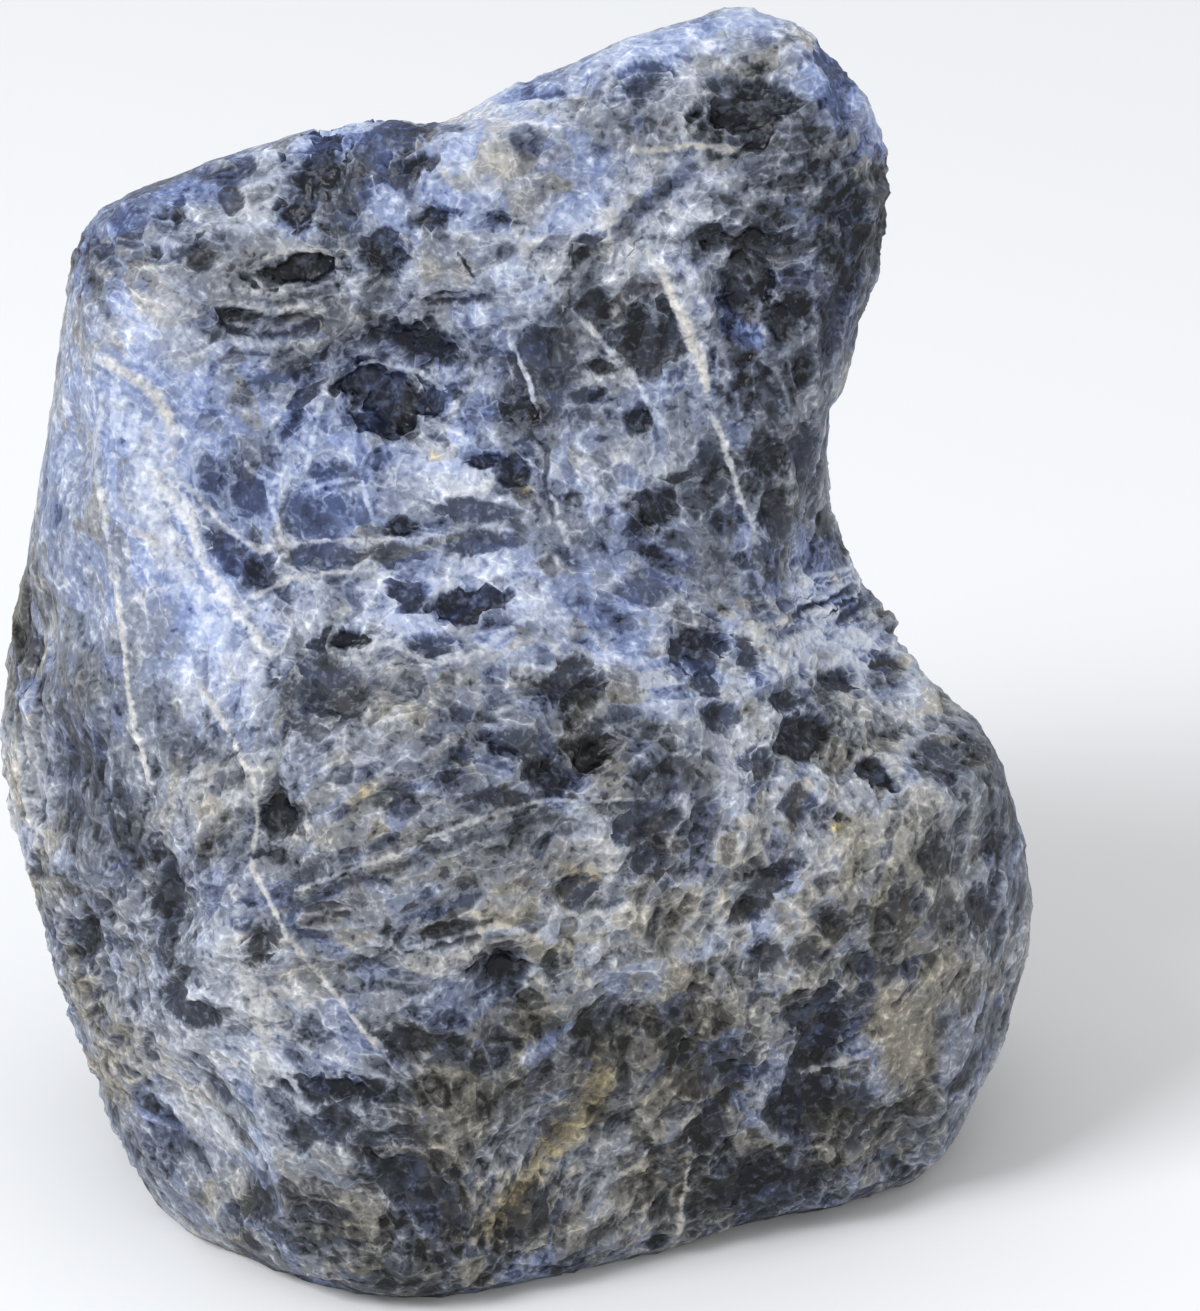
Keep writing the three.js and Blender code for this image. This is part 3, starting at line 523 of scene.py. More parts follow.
# What each part of the pattern adds to the tone, which runs from 0, black, to 1, white. The areas' light
# adds painted light and shade as well as paler and darker stone, and the crest is painted light on crests and
# painted shade in hollows.
TONE_BASE = 0.458
TONE_WEIGHTS = {"light": 0.5, "crest": 0.2, "cloud": 0.34, "fray": 0.28, "salt": 0.09, "pepper": -0.08,
                "big": 0.07, "small": 0.06, "big_dark": -0.12, "small_dark": -0.15, "grit": 0.1, "pit": -0.15,
                "net": 0.03, "streak": 0.13, "ripple": 0.12, "seam": 0.07}
PATCH_WEIGHTS = {"crest": 0.1, "fray": 0.32, "cloud": 0.15, "salt": 0.12, "small": 0.14, "grit": 0.12,
                 "net": 0.1}
VEIN_WEIGHTS = {"fray": 0.5, "salt": 0.1, "pepper": -0.15, "small": 0.12}
HUE_WEIGHTS = {"big_tint": 0.4, "small_tint": 0.4}

# What each part of the pattern adds to the height of the surface, in millimetres, and how much of the depth
# of a dark patch is added.
RELIEF_WEIGHTS = {"cloud": 1.2, "fray": 0.5, "small": 0.25, "big_dark": -0.5, "small_dark": -0.3, "pit": -0.2,
                  "streak": 0.25, "ripple": 0.2, "seam": 0.15}
PATCH_PRESS = -0.75

# Broken faces and sharp ridges: their sizes in millimetres and their steepness.
FACETS = ((11.0, 0.2), (4.5, 0.22))
FACET_SOFTNESS = 0.2
RIDGES = ((9.0, 4.8), (3.5, 2.4))
RIDGE_LEVEL = 0.12

# The share of the relief that is kept: more where the stone is speckled, within a range.
KEPT_BASE = 0.56
KEPT_WEIGHTS = {"speckle": 0.45}
KEPT_RANGE = (0.25, 0.7)

# How often the height is blurred to find the crests that stand above their surroundings. The crests are
# painted into the tone: lighter on crests and darker in hollows, as painted light and shade.
CREST_ROUNDS = 14

# Colours of the stone from its darkest to its palest grains, in four hues, as 0 to 255 screen values.
TONES = (0.0, 0.25, 0.5, 0.75, 1.0)
NEUTRAL = ((10, 13, 20), (65, 70, 82), (119, 124, 135), (172, 176, 185), (220, 222, 227))
BLUE = ((16, 24, 46), (70, 82, 120), (125, 139, 178), (179, 189, 213), (222, 228, 240))
WARM = ((18, 17, 16), (74, 72, 67), (130, 126, 117), (184, 176, 161), (228, 220, 204))
OCHRE = ((32, 29, 22), (96, 87, 66), (148, 136, 106), (196, 183, 150), (238, 230, 208))

# The finish: dark grains are smoother than pale ones, and a fine bump breaks the shine.
ROUGH_BASE = 0.4
ROUGH_WEIGHTS = {"tone": 0.35, "specks": 0.3}
SHINE = 0.25
BUMP_STRENGTH = 0.7
BUMP_HEIGHT = 0.25 * MM

# The studio: a floor with faint clouds, an even sky and two soft square lights, in metres and watts.
FLOOR_REACH = 6.0
FLOOR_CLOUDS = 3.0
FLOOR_COLOURS = ((0.84, 0.84, 0.85, 1), (0.88, 0.88, 0.88, 1))
FLOOR_ROUGHNESS = 0.9
SKY_COLOUR = (0.96, 0.98, 1.0, 1)
SKY_STRENGTH = 0.75
LIGHTS = {
    "key": dict(place=(-0.75, -0.65, 1.0), size=0.5, power=14.0, colour=(0.95, 0.97, 1.0)),
    "fill": dict(place=(0.8, -0.9, 0.5), size=0.6, power=2.0, colour=(1.0, 0.97, 0.92)),
}
LIGHT_BOUNCES = 1


class Nodes:
    """Short calls that add nodes to one tree. They serve a shader and a geometry tree alike."""

    def __init__(self, tree):
        self.tree = tree

    def add(self, kind, inputs=None, **settings):
        node = self.tree.nodes.new(kind)
        for name, value in settings.items():
            setattr(node, name, value)
        for key, value in (inputs or {}).items():
            self.feed(node.inputs[key], value)
        return node

    def feed(self, socket, value):
        if isinstance(value, bpy.types.NodeSocket):
            self.tree.links.new(value, socket)
        else:
            socket.default_value = value

    def math(self, operation, first, second=0.0):
        return self.add("ShaderNodeMath", {0: first, 1: second}, operation=operation).outputs[0]

    def total(self, *values):
        result = values[0]
        for value in values[1:]:
            result = self.math("ADD", result, value)
        return result

    def times(self, first, second):
        return self.math("MULTIPLY", first, second)

    def centred(self, value):
        return self.math("SUBTRACT", value, MIDDLE)

    def weighted(self, parts, weights, base=0.0):
        """A base value plus each named part times its weight."""
        result = base
        for name, weight in weights.items():
            inputs = {0: parts[name], 1: weight, 2: result}
            result = self.add("ShaderNodeMath", inputs, operation="MULTIPLY_ADD").outputs[0]
        return result

    def vector(self, operation, first, second=(0, 0, 0)):
        return self.add("ShaderNodeVectorMath", {0: first, 1: second}, operation=operation)

    def centred_vector(self, vector):
        return self.vector("SUBTRACT", vector, (MIDDLE, MIDDLE, MIDDLE)).outputs[0]

    def scaled(self, vector, amount):
        return self.add("ShaderNodeVectorMath", {0: vector, "Scale": amount}, operation="SCALE").outputs[0]

    def ramp(self, value, low, high):
        """0 at low and before it, 1 at high and past it, and a smooth step between."""
        node = self.add("ShaderNodeMapRange", {0: value, 1: low, 2: high}, interpolation_type="SMOOTHSTEP")
        return node.outputs[0]

    def blend(self, amount, first, second):
        """From first to second as amount goes from 0 to 1."""
        return self.add("ShaderNodeMix", {0: amount, 2: first, 3: second}).outputs[0]

    def colours(self, amount, first, second):
        return self.add("ShaderNodeMix", {0: amount, 6: first, 7: second}, data_type="RGBA").outputs[2]

    def noise(self, place, size, detail=1.0, roughness=0.5):
        """Cloudy noise about the middle, whose blots are about size millimetres across."""
        inputs = {"Vector": place, "Scale": 1 / size, "Detail": detail, "Roughness": roughness}
        return self.add("ShaderNodeTexNoise", inputs)

    def voronoi(self, place, size, feature="F1"):
        return self.add("ShaderNodeTexVoronoi", {"Vector": place, "Scale": 1 / size}, feature=feature)


def screen_colour(rgb):
    """A 0 to 255 screen colour as linear light, by the usual screen curve."""
    return tuple(((c / 255 + 0.055) / 1.055) ** 2.4 if c > 10 else c / 255 / 12.92 for c in rgb) + (1.0,)


def photo_pixels(points):
    """Where points of the frame show in the photograph, in pixels, and how far each is from the eye."""
    offset = points - EYE
    depth = -(offset @ TOWARDS_EYE)
    on_plane = offset * (EYE_DISTANCE / depth)[:, None]
    x = HEART_PIXEL[0] + on_plane @ RIGHT / PIXEL
    y = HEART_PIXEL[1] - on_plane @ SIGHT_UP / PIXEL
    return x, y, depth


def sight_point(surface, pixel):
    """The point of the stone that shows at a pixel. A pixel just outside it is moved towards the heart."""
    x, y = pixel
    for _ in range(SIGHT_TRIES):
        right = (x - HEART_PIXEL[0]) * PIXEL
        up = (HEART_PIXEL[1] - y) * PIXEL
        direction = Vector(right * RIGHT + up * SIGHT_UP - EYE_DISTANCE * TOWARDS_EYE).normalized()
        hit = surface.ray_cast(Vector(EYE), direction)[0]
        if hit is not None:
            return np.array(hit)
        x += SIGHT_SHARE * (HEART_PIXEL[0] - x)
        y += SIGHT_SHARE * (HEART_PIXEL[1] - y)
    raise ValueError(f"no stone near pixel {pixel}")


def sight_depth(surface, pixel):
    """How far from the eye the stone is at a pixel."""
    return -(sight_point(surface, pixel) - EYE) @ TOWARDS_EYE


def sight_fade(depth, near, reach):
    """1 where a point is about as far from the eye as a marking is, falling to 0 well before or behind it."""
    return np.clip(2 - np.abs(depth - near) / reach, 0, 1)


def patch_ramp(view, surface, at, half, lean):
    """1 at the middle of a blunt diamond in the photograph, 0.5 on its edge and 0 at twice its size."""
    x, y, depth = view
    turn = math.radians(lean)
    across = (x - at[0]) * math.cos(turn) + (y - at[1]) * math.sin(turn)
    along = (y - at[1]) * math.cos(turn) - (x - at[0]) * math.sin(turn)
    distance = (np.abs(across / half[0]) ** CORNERS + np.abs(along / half[1]) ** CORNERS) ** (1 / CORNERS)
    reach = SIGHT_REACH + max(half) * PIXEL
    return np.clip(1 - distance / 2, 0, 1) * sight_fade(depth, sight_depth(surface, at), reach)


def line_field(view, surface, points, half):
    """Signed distance in pixels from a line drawn in the photograph, 1 where the stone is about as far from
    the eye as the line is, and the distance from the nearer end."""
    x, y, depth = view
    distance = np.full(len(x), FAR)
    beside = np.zeros(len(x))
    for start, end in zip(points, points[1:]):
        run = np.subtract(end, start)
        steps = max(1, round(math.hypot(*run) / max(SIGHT_STEP, half / 2)))
        depths = [sight_depth(surface, np.add(start, run * k / steps)) for k in range(steps + 1)]
        share = np.clip(((x - start[0]) * run[0] + (y - start[1]) * run[1]) / (run @ run), 0, 1)
        away_x = x - start[0] - share * run[0]
        away_y = y - start[1] - share * run[1]
        side = np.where(run[0] * away_y - run[1] * away_x < 0, -1.0, 1.0)
        away = np.hypot(away_x, away_y) * side
        near = np.interp(share, np.linspace(0, 1, steps + 1), depths)
        fade = sight_fade(depth, near, SIGHT_REACH + half * PIXEL)
        closer = (np.abs(away) < np.abs(distance)) & (fade > 0)
        distance[closer] = away[closer]
        beside[closer] = fade[closer]
    ends = [np.hypot(x - end_x, y - end_y) for end_x, end_y in (points[0], points[-1])]
    return distance, beside, np.minimum(*ends)


def store(mesh, name, values):
    """Keeps one number, or one vector, for each vertex of a mesh under a name."""
    kind, key = ("FLOAT_VECTOR", "vector") if values.ndim == 2 else ("FLOAT", "value")
    mesh.attributes.new(name, kind, "POINT").data.foreach_set(key, values.astype(np.float32).ravel())


def vertex_vectors(mesh, key):
    """The places or normals of a mesh's vertices, one row for each."""
    vectors = np.empty(len(mesh.vertices) * 3, np.float32)
    mesh.vertices.foreach_get(key, vectors)
    return vectors.reshape(-1, 3).astype(float)


def apply_modifiers(piece):
    """Puts the result of a piece's modifiers into its mesh."""
    graph = bpy.context.evaluated_depsgraph_get()
    old = piece.data
    piece.data = bpy.data.meshes.new_from_object(piece.evaluated_get(graph))
    piece.modifiers.clear()
    bpy.data.meshes.remove(old)


def rough_stone(solid):
    """A fine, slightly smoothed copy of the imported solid."""
    piece = bpy.data.objects.new(PIECE, solid.data.copy())
    piece.data.materials.clear()
    bpy.context.scene.collection.objects.link(piece)
    remesh = piece.modifiers.new("voxels", "REMESH")
    remesh.mode = "VOXEL"
    remesh.voxel_size = VOXEL
    smooth = piece.modifiers.new("soft facets", "SMOOTH")
    smooth.iterations = SMOOTH_ROUNDS
    apply_modifiers(piece)
    return piece


def grain_pull(places, view, surface):
    """How far each point moves, in millimetres, so that a pattern drawn there is longer along the grain."""
    x, y, _ = view
    total = np.full(len(x), STILL)
    pull = np.zeros_like(places)
    for flow in FLOWS.values():
        lean = math.radians(flow["lean"])
        grain = math.cos(lean) * RIGHT - math.sin(lean) * SIGHT_UP
        weight = np.exp(-((x - flow["at"][0]) ** 2 + (y - flow["at"][1]) ** 2) / flow["reach"] ** 2)
        along = (places - sight_point(surface, flow["at"])) @ grain / MM
        pull -= np.outer(weight * along * (1 - 1 / flow["stretch"]), grain)
        total += weight
    return pull / total[:, None]


def patch_fields(view, surface):
    """How far inside a dark patch each vertex is, and the depth and tone of that patch."""
    count = len(view[0])
    fields = {name: np.zeros(count) for name in ("patch", "patch_depth")}
    fields["patch_tone"] = np.full(count, LOOSE_TONE)
    for marking in DARK_PATCHES.values():
        ramp = patch_ramp(view, surface, marking["at"], marking["half"], marking["lean"])
        inside = ramp > fields["patch"]
        fields["patch"][inside] = ramp[inside]
        fields["patch_depth"][inside] = marking["depth"]
        fields["patch_tone"][inside] = marking["tone"]
    return fields


def vein_fields(view, surface):
    """How clearly the nearest vein shows at each vertex, its warmth and tone, and how far off it is.

    The side is signed, so it passes through 0 on a thin vein that lies between two vertices. It also passes
    through 0 halfway between two veins, and the plain distance off tells such places from a vein."""
    count = len(view[0])
    away = np.full(count, FAR)
    half = np.ones(count)
    fields = {name: np.zeros(count) for name in ("vein", "vein_warm")}
    fields["vein_tone"] = np.full(count, PALE)
    for marking in VEINS.values():
        distance, beside, ends = line_field(view, surface, marking["points"], marking["half"])
        shown = marking["show"] * beside * np.clip(ends / marking["half"] / VEIN_TAPER, 0, 1)
        closer = np.abs(distance) < np.abs(away)
        away[closer] = distance[closer]
        half[closer] = marking["half"]
        fields["vein"][closer] = shown[closer]
        fields["vein_warm"][closer] = marking["warm"]
        fields["vein_tone"][closer] = marking["tone"]
    fields["vein_side"] = np.clip(away / half, -VEIN_REACH, VEIN_REACH)
    fields["vein_off"] = np.abs(fields["vein_side"])
    return fields


def area_fields(view, surface):
    """How much the broad areas add of each kind at each vertex."""
    fields = {kind: np.zeros(len(view[0])) for kind in AREA_KINDS}
    for marking in AREAS.values():
        distance, beside, _ = line_field(view, surface, marking["points"], marking["half"])
        ramp = np.clip(1 - np.abs(distance) / marking["half"] / 2, 0, 1) * beside
        share = ramp * ramp * (3 - 2 * ramp)
        for kind in AREA_KINDS:
            fields[kind] += share * marking.get(kind, 0)
    return fields


def add_markings(piece, surface):
    """Stores on the vertices what the photograph shows where, and which of them it doesn't show."""
    mesh = piece.data
    places = vertex_vectors(mesh, "co")
    view = photo_pixels(places)
    fields = patch_fields(view, surface) | vein_fields(view, surface) | area_fields(view, surface)
    facing_away = -(vertex_vectors(mesh, "normal") @ TOWARDS_EYE)
    fields["unseen"] = np.interp(facing_away, [-UNSEEN[0], -UNSEEN[1]], [0, 1])
    fields["pull"] = grain_pull(places, view, surface)
    for name, values in fields.items():
        store(mesh, name, values)


def warped(nodes, place):
    """Places pushed about, so that no crystal stays a clean polygon."""
    moved = place
    for size, push in WARPS:
        cloud = nodes.noise(place, size).outputs["Color"]
        shift = nodes.scaled(nodes.centred_vector(cloud), push)
        moved = nodes.vector("ADD", moved, shift).outputs[0]
    return moved


def crystal_gap(nodes, place, size, nearest):
    """How much farther off the second nearest crystal is than the nearest."""
    second = nodes.voronoi(place, size, "F2").outputs["Distance"]
    return nodes.math("SUBTRACT", second, nearest.outputs["Distance"])


def slow_fields(nodes, spot, place, named):
    """The parts of the pattern that change slowly enough to be kept on the vertices."""
    fields = {
        "cloud": nodes.centred(nodes.noise(place, **CLOUDS).outputs[0]),
        "streak": nodes.centred(nodes.noise(place, **STREAKS).outputs[0]),
        "seam": nodes.centred(nodes.noise(spot, **SEAMS).outputs[0]),
        "hue": nodes.noise(place, **HUES).outputs[0],
        "big_gap": crystal_gap(nodes, place, BIG_SIZE, nodes.voronoi(place, BIG_SIZE)),
    }
    zones = nodes.add("ShaderNodeSeparateXYZ", {0: nodes.noise(spot, **ZONES).outputs["Color"]})
    for zone, (kind, weight) in zip(zones.outputs, ZONE_WEIGHTS.items()):
        drift = nodes.times(nodes.centred(zone), nodes.times(named("unseen"), weight))
        fields[kind] = nodes.math("ADD", named(kind), drift)
    return fields


def add_crystals(nodes, grains, kind, nearest, gap):
    """Adds one size of broken polygons: the chance and tint of each, 1 inside dark ones, 1 along edges."""
    edge = nodes.weighted(grains, {"fray": CRYSTAL_FRAY}, gap)
    split = nodes.add("ShaderNodeSeparateXYZ", {0: nearest.outputs["Color"]})
    chance = nodes.centred(split.outputs[0])
    chosen = nodes.ramp(nodes.math("SUBTRACT", grains["share"], chance), *CHOICE_STEP)
    grains[kind] = chance
    grains[kind + "_tint"] = nodes.centred(split.outputs[1])
    grains[kind + "_dark"] = nodes.times(nodes.ramp(edge, *DARK_STEP), chosen)
    grains[kind + "_net"] = nodes.math("SUBTRACT", 1.0, nodes.ramp(edge, *NET_STEP))


def thin_line(nodes, value, half):
    """1 where a value passes 0, falling to 0 at half away from it."""
    return nodes.math("SUBTRACT", 1.0, nodes.ramp(nodes.math("ABSOLUTE", value), 0.0, half))


def stone_grains(nodes, spot, place, named):
    """The pattern that relief and colour share, as named parts. Clouds, frays and chances run about 0."""
    grains = {name: named(name) for name in AREA_KINDS}
    grains["cloud"] = named("cloud")
    grains["near_patch"] = named("patch")
    grains["fray"] = nodes.centred(nodes.noise(spot, **FRAYS).outputs[0])
    grains["share"] = nodes.weighted(grains, SHARE_WEIGHTS, SHARE_BASE)
    small = nodes.voronoi(place, SMALL_SIZE)
    add_crystals(nodes, grains, "big", nodes.voronoi(place, BIG_SIZE), named("big_gap"))
    add_crystals(nodes, grains, "small", small, crystal_gap(nodes, place, SMALL_SIZE, small))
    net = nodes.math("MAXIMUM", grains["big_net"], grains["small_net"])
    grains["net"] = nodes.times(net, nodes.ramp(grains["cloud"], *PALE_STEP))

    strength = nodes.math("ADD", grains["cloud"], grains["fray"])
    whole = nodes.ramp(strength, *WHOLE_STEP)
    grains["streak"] = nodes.times(thin_line(nodes, named("streak"), STREAK_HALF), whole)
    grains["seam"] = nodes.times(thin_line(nodes, named("seam"), SEAM_HALF), whole)
    ripple = nodes.centred(nodes.noise(place, **RIPPLES).outputs[0])
    grains["ripple"] = nodes.times(thin_line(nodes, ripple, RIPPLE_HALF), whole)
    grains["grit"] = nodes.ramp(grains["fray"], *GRIT_STEP)
    grains["pit"] = nodes.ramp(nodes.weighted(grains, PIT_WEIGHTS), *PIT_STEP)
    grains["patch"] = nodes.ramp(nodes.weighted(grains, EDGE_WEIGHTS), *PATCH_STEP)

    width = nodes.weighted(grains, WIDTH_WEIGHTS, WIDTH_BASE)
    inside = nodes.math("SUBTRACT", width, nodes.math("ABSOLUTE", named("vein_side")))
    close = nodes.math("LESS_THAN", named("vein_off"), VEIN_REACH / 2)
    shown = nodes.times(named("vein"), nodes.ramp(strength, *UNBROKEN_STEP))
    grains["vein"] = nodes.times(nodes.times(nodes.ramp(inside, *VEIN_STEP), close), shown)
    return grains


def facets(nodes, place, size, steepness):
    """Broken faces: each cell is a plane with its own small lean."""
    inputs = {"Vector": place, "Scale": 1 / size, "Smoothness": FACET_SOFTNESS}
    cell = nodes.add("ShaderNodeTexVoronoi", inputs, feature="SMOOTH_F1")
    lean = nodes.centred_vector(cell.outputs["Color"])
    offset = nodes.vector("SUBTRACT", place, cell.outputs["Position"]).outputs[0]
    return nodes.times(nodes.vector("DOT_PRODUCT", offset, lean).outputs["Value"], steepness)


def ridges(nodes, place, size, steepness):
    """Sharp crests where a cloudy noise passes its middle, about size millimetres apart."""
    cloud = nodes.centred(nodes.noise(place, size).outputs[0])
    below = nodes.math("SUBTRACT", RIDGE_LEVEL, nodes.math("ABSOLUTE", cloud))
    return nodes.times(below, steepness)


def relief_tree():
    """Geometry nodes that press dark grains in, raise veins, break the surface into small faces and store the
    crests for painted light and shade.
    """
    tree = bpy.data.node_groups.new("stone relief", "GeometryNodeTree")
    tree.interface.new_socket("Geometry", in_out="INPUT", socket_type="NodeSocketGeometry")
    tree.interface.new_socket("Geometry", in_out="OUTPUT", socket_type="NodeSocketGeometry")
    nodes = Nodes(tree)

    def named(name, kind="FLOAT"):
        return nodes.add("GeometryNodeInputNamedAttribute", {"Name": name}, data_type=kind).outputs[0]

    position = nodes.add("GeometryNodeInputPosition").outputs[0]
    spot = nodes.scaled(position, 1 / MM)
    place = nodes.vector("ADD", warped(nodes, spot), named("pull", "FLOAT_VECTOR")).outputs[0]
    fields = slow_fields(nodes, spot, place, named)
    grains = stone_grains(nodes, spot, place, lambda name: fields[name] if name in fields else named(name))
    height = nodes.total(
        *(facets(nodes, place, size, steepness) for size, steepness in FACETS),
        *(ridges(nodes, place, size, steepness) for size, steepness in RIDGES),
        nodes.weighted(grains, RELIEF_WEIGHTS),
    )
    kept = nodes.math("MINIMUM", nodes.weighted(grains, KEPT_WEIGHTS, KEPT_BASE), KEPT_RANGE[1])
    vein_height = nodes.math("SUBTRACT", named("vein_tone"), VEIN_LEVEL)
    height = nodes.total(
        nodes.times(height, nodes.math("MAXIMUM", kept, KEPT_RANGE[0])),
        nodes.times(nodes.times(grains["patch"], named("patch_depth")), PATCH_PRESS),
        nodes.times(grains["vein"], vein_height),
    )
    z = nodes.add("ShaderNodeSeparateXYZ", {0: position}).outputs[2]
    height = nodes.times(height, nodes.ramp(z, 0.0, BASE_FADE))
    # The crest: height above its blurred surroundings, stored for painted light on crests and painted shade
    # in hollows.
    soft = nodes.add("GeometryNodeBlurAttribute", {"Value": height, "Iterations": CREST_ROUNDS}).outputs[0]
    crest = nodes.math("SUBTRACT", height, soft)
    stone = nodes.add("NodeGroupInput").outputs[0]
    for name, value in dict(fields, spot=spot, place=place, crest=crest).items():
        kind = "FLOAT_VECTOR" if name in ("spot", "place") else "FLOAT"
        inputs = {"Geometry": stone, "Name": name, "Value": value}
        keep = nodes.add("GeometryNodeStoreNamedAttribute", inputs, data_type=kind, domain="POINT")
        stone = keep.outputs[0]
    offset = nodes.scaled(nodes.add("GeometryNodeInputNormal").outputs[0], nodes.times(height, MM))
    moved = nodes.add("GeometryNodeSetPosition", {"Geometry": stone, "Offset": offset}).outputs[0]
    nodes.add("NodeGroupOutput", {0: moved})
    return tree


def add_relief(piece):
    """Displaces the fine mesh, thins it where it is flat, and sets its foot flat on the floor."""
    relief = piece.modifiers.new("relief", "NODES")
    relief.node_group = relief_tree()
    apply_modifiers(piece)
    thin = piece.modifiers.new("thin", "DECIMATE")
    triangles = sum(len(face.vertices) - 2 for face in piece.data.polygons)
    thin.ratio = min(1.0, TRIANGLES / triangles)
    thin.use_collapse_triangulate = True
    apply_modifiers(piece)
    for vertex in piece.data.vertices:
        if vertex.co.z < BASE_HEIGHT:
            vertex.co.z = 0.0


def tone_ramp(nodes, tone, hues):
    """The colour of a tone in one hue, from its darkest to its palest colour."""
    node = nodes.add("ShaderNodeValToRGB", {0: tone})
    stops = node.color_ramp.elements
    while len(stops) < len(TONES):
        stops.new(MIDDLE)
    for stop, place, hue in zip(stops, TONES, hues):
        stop.position = place
        stop.color = screen_colour(hue)
    return node.outputs[0]


def stone_material():
    """Dark grains in a pale net, in neutral, blue, warm and ochre hues, with painted light and shade on
    crests, in hollows and in broad areas, smoother where dark, finely bumpy.
    """
    material = bpy.data.materials.new("raw_sodalite")
    material.use_nodes = True
    tree = material.node_tree
    tree.nodes.clear()
    nodes = Nodes(tree)

    def named(name):
        return nodes.add("ShaderNodeAttribute", attribute_name=name).outputs["Fac"]

    spot = nodes.add("ShaderNodeAttribute", attribute_name="spot").outputs["Vector"]
    place = nodes.add("ShaderNodeAttribute", attribute_name="place").outputs["Vector"]
    grains = stone_grains(nodes, spot, place, named)
    specks = nodes.centred(nodes.noise(spot, **SPECKS).outputs[0])
    grains["salt"] = nodes.ramp(specks, *SALT_STEP)
    grains["pepper"] = nodes.ramp(specks, *PEPPER_STEP)
    # Painted light on crests and painted shade in hollows.
    grains["crest"] = named("crest")
    tone = nodes.weighted(grains, TONE_WEIGHTS, TONE_BASE)
    patch_tone = nodes.weighted(grains, PATCH_WEIGHTS, named("patch_tone"))
    vein_tone = nodes.weighted(grains, VEIN_WEIGHTS, named("vein_tone"))
    tone = nodes.blend(grains["patch"], tone, patch_tone)
    tone = nodes.blend(grains["vein"], tone, vein_tone)

    hue = nodes.weighted(grains, HUE_WEIGHTS, named("hue"))
    blue = nodes.ramp(nodes.math("ADD", grains["blue"], hue), *BLUE_STEP)
    warm = nodes.ramp(nodes.math("ADD", grains["warm"], nodes.math("SUBTRACT", 1.0, hue)), *WARM_STEP)
    warm = nodes.math("MAXIMUM", warm, nodes.times(grains["vein"], named("vein_warm")))
    colour = nodes.colours(blue, tone_ramp(nodes, tone, NEUTRAL), tone_ramp(nodes, tone, BLUE))
    colour = nodes.colours(warm, colour, tone_ramp(nodes, tone, WARM))
    ochre = nodes.ramp(nodes.math("ADD", grains["ochre"], grains["fray"]), *OCHRE_STEP)
    colour = nodes.colours(ochre, colour, tone_ramp(nodes, tone, OCHRE))

    roughness = nodes.weighted({"tone": tone, "specks": specks}, ROUGH_WEIGHTS, ROUGH_BASE)
    bump_inputs = {"Strength": BUMP_STRENGTH, "Distance": BUMP_HEIGHT, "Height": specks}
    bump = nodes.add("ShaderNodeBump", bump_inputs).outputs[0]
    inputs = {"Base Color": colour, "Roughness": roughness, "Specular IOR Level": SHINE, "Normal": bump}
    shader = nodes.add("ShaderNodeBsdfPrincipled", inputs)
    nodes.add("ShaderNodeOutputMaterial", {"Surface": shader.outputs[0]})
    return material


def build_stone(frame):
    """The dressed stone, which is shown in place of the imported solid."""
    solid = frame["nodes"][NODE]
    corners = [vertex.co for vertex in solid.data.vertices]
    surface = BVHTree.FromPolygons(corners, [face.vertices for face in solid.data.polygons])
    piece = rough_stone(solid)
    add_markings(piece, surface)
    add_relief(piece)
    piece.data.materials.append(stone_material())
    piece.data.shade_smooth()
    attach(piece, "root")
    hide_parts(NODE)


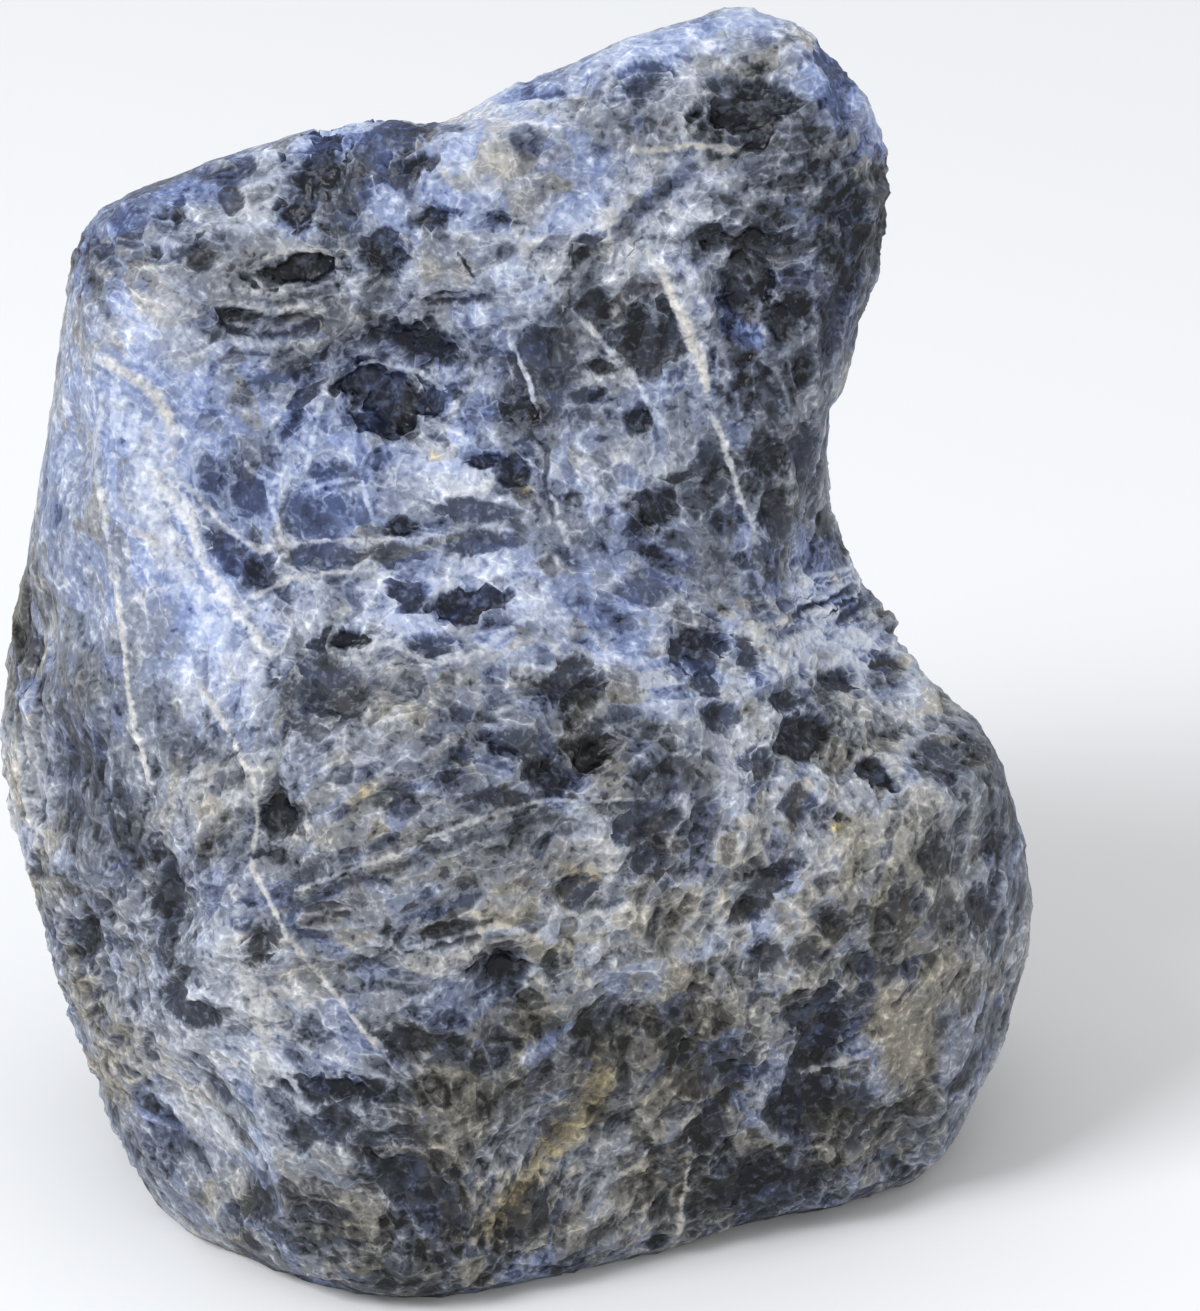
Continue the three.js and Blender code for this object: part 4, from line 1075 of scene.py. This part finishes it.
def build_floor():
    """A wide pale floor with a faint cloudiness."""
    corners = [(x * FLOOR_REACH, y * FLOOR_REACH, 0) for x, y in ((-1, -1), (1, -1), (1, 1), (-1, 1))]
    mesh = bpy.data.meshes.new("floor")
    mesh.from_pydata(corners, [], [(0, 1, 2, 3)])
    floor = bpy.data.objects.new("floor", mesh)
    bpy.context.scene.collection.objects.link(floor)
    material = bpy.data.materials.new("pale_floor")
    material.use_nodes = True
    nodes = Nodes(material.node_tree)
    shader = material.node_tree.nodes["Principled BSDF"]
    clouds = nodes.add("ShaderNodeTexNoise", {"Scale": FLOOR_CLOUDS}).outputs[0]
    nodes.feed(shader.inputs["Base Color"], nodes.colours(clouds, *FLOOR_COLOURS))
    shader.inputs["Roughness"].default_value = FLOOR_ROUGHNESS
    mesh.materials.append(material)
    floor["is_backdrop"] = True


def build_light(name, place, size, power, colour):
    """A square soft light that faces the stone."""
    light = bpy.data.lights.new(name, "AREA")
    light.size = size
    light.energy = power
    light.color = colour
    lamp = bpy.data.objects.new(name, light)
    lamp.location = place
    lamp.rotation_euler = (Vector(HEART) - Vector(place)).to_track_quat("-Z", "Y").to_euler()
    bpy.context.scene.collection.objects.link(lamp)


def build_studio():
    """Soft light from all around, with a cool key light from the upper left front."""
    world = bpy.data.worlds.new("studio")
    world.use_nodes = True
    background = world.node_tree.nodes["Background"]
    background.inputs["Color"].default_value = SKY_COLOUR
    background.inputs["Strength"].default_value = SKY_STRENGTH
    scene = bpy.context.scene
    scene.world = world
    for name, light in LIGHTS.items():
        build_light(name, **light)
    scene.view_settings.view_transform = "Standard"
    scene.cycles.max_bounces = LIGHT_BOUNCES
    scene.cycles.diffuse_bounces = LIGHT_BOUNCES
    scene.cycles.glossy_bounces = LIGHT_BOUNCES


def build_camera():
    """The photograph's eye, aimed at the middle of its frame."""
    camera = bpy.data.cameras.new("camera")
    camera.sensor_width = SENSOR
    camera.lens = SENSOR * EYE_DISTANCE / (PHOTO_SIZE[1] * PIXEL)
    right = (PHOTO_SIZE[0] / 2 - HEART_PIXEL[0]) * PIXEL
    up = (HEART_PIXEL[1] - PHOTO_SIZE[1] / 2) * PIXEL
    aim = HEART + right * RIGHT + up * SIGHT_UP
    eye = bpy.data.objects.new("camera", camera)
    eye.location = EYE
    eye.rotation_euler = Vector(aim - EYE).to_track_quat("-Z", "Y").to_euler()
    bpy.context.scene.collection.objects.link(eye)
    bpy.context.scene.camera = eye


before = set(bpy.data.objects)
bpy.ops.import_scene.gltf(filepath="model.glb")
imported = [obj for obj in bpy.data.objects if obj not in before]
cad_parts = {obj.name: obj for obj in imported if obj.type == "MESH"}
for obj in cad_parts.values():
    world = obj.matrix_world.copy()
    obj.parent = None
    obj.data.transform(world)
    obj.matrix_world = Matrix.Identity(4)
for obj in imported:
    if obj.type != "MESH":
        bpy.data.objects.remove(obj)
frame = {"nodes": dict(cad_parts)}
cad_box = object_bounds()
build_camera()
build_stone(frame)
build_floor()
build_studio()
boxes = {"cad": cad_box, "visual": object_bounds()}
{name: [list(corner) for corner in box] for name, box in boxes.items()}
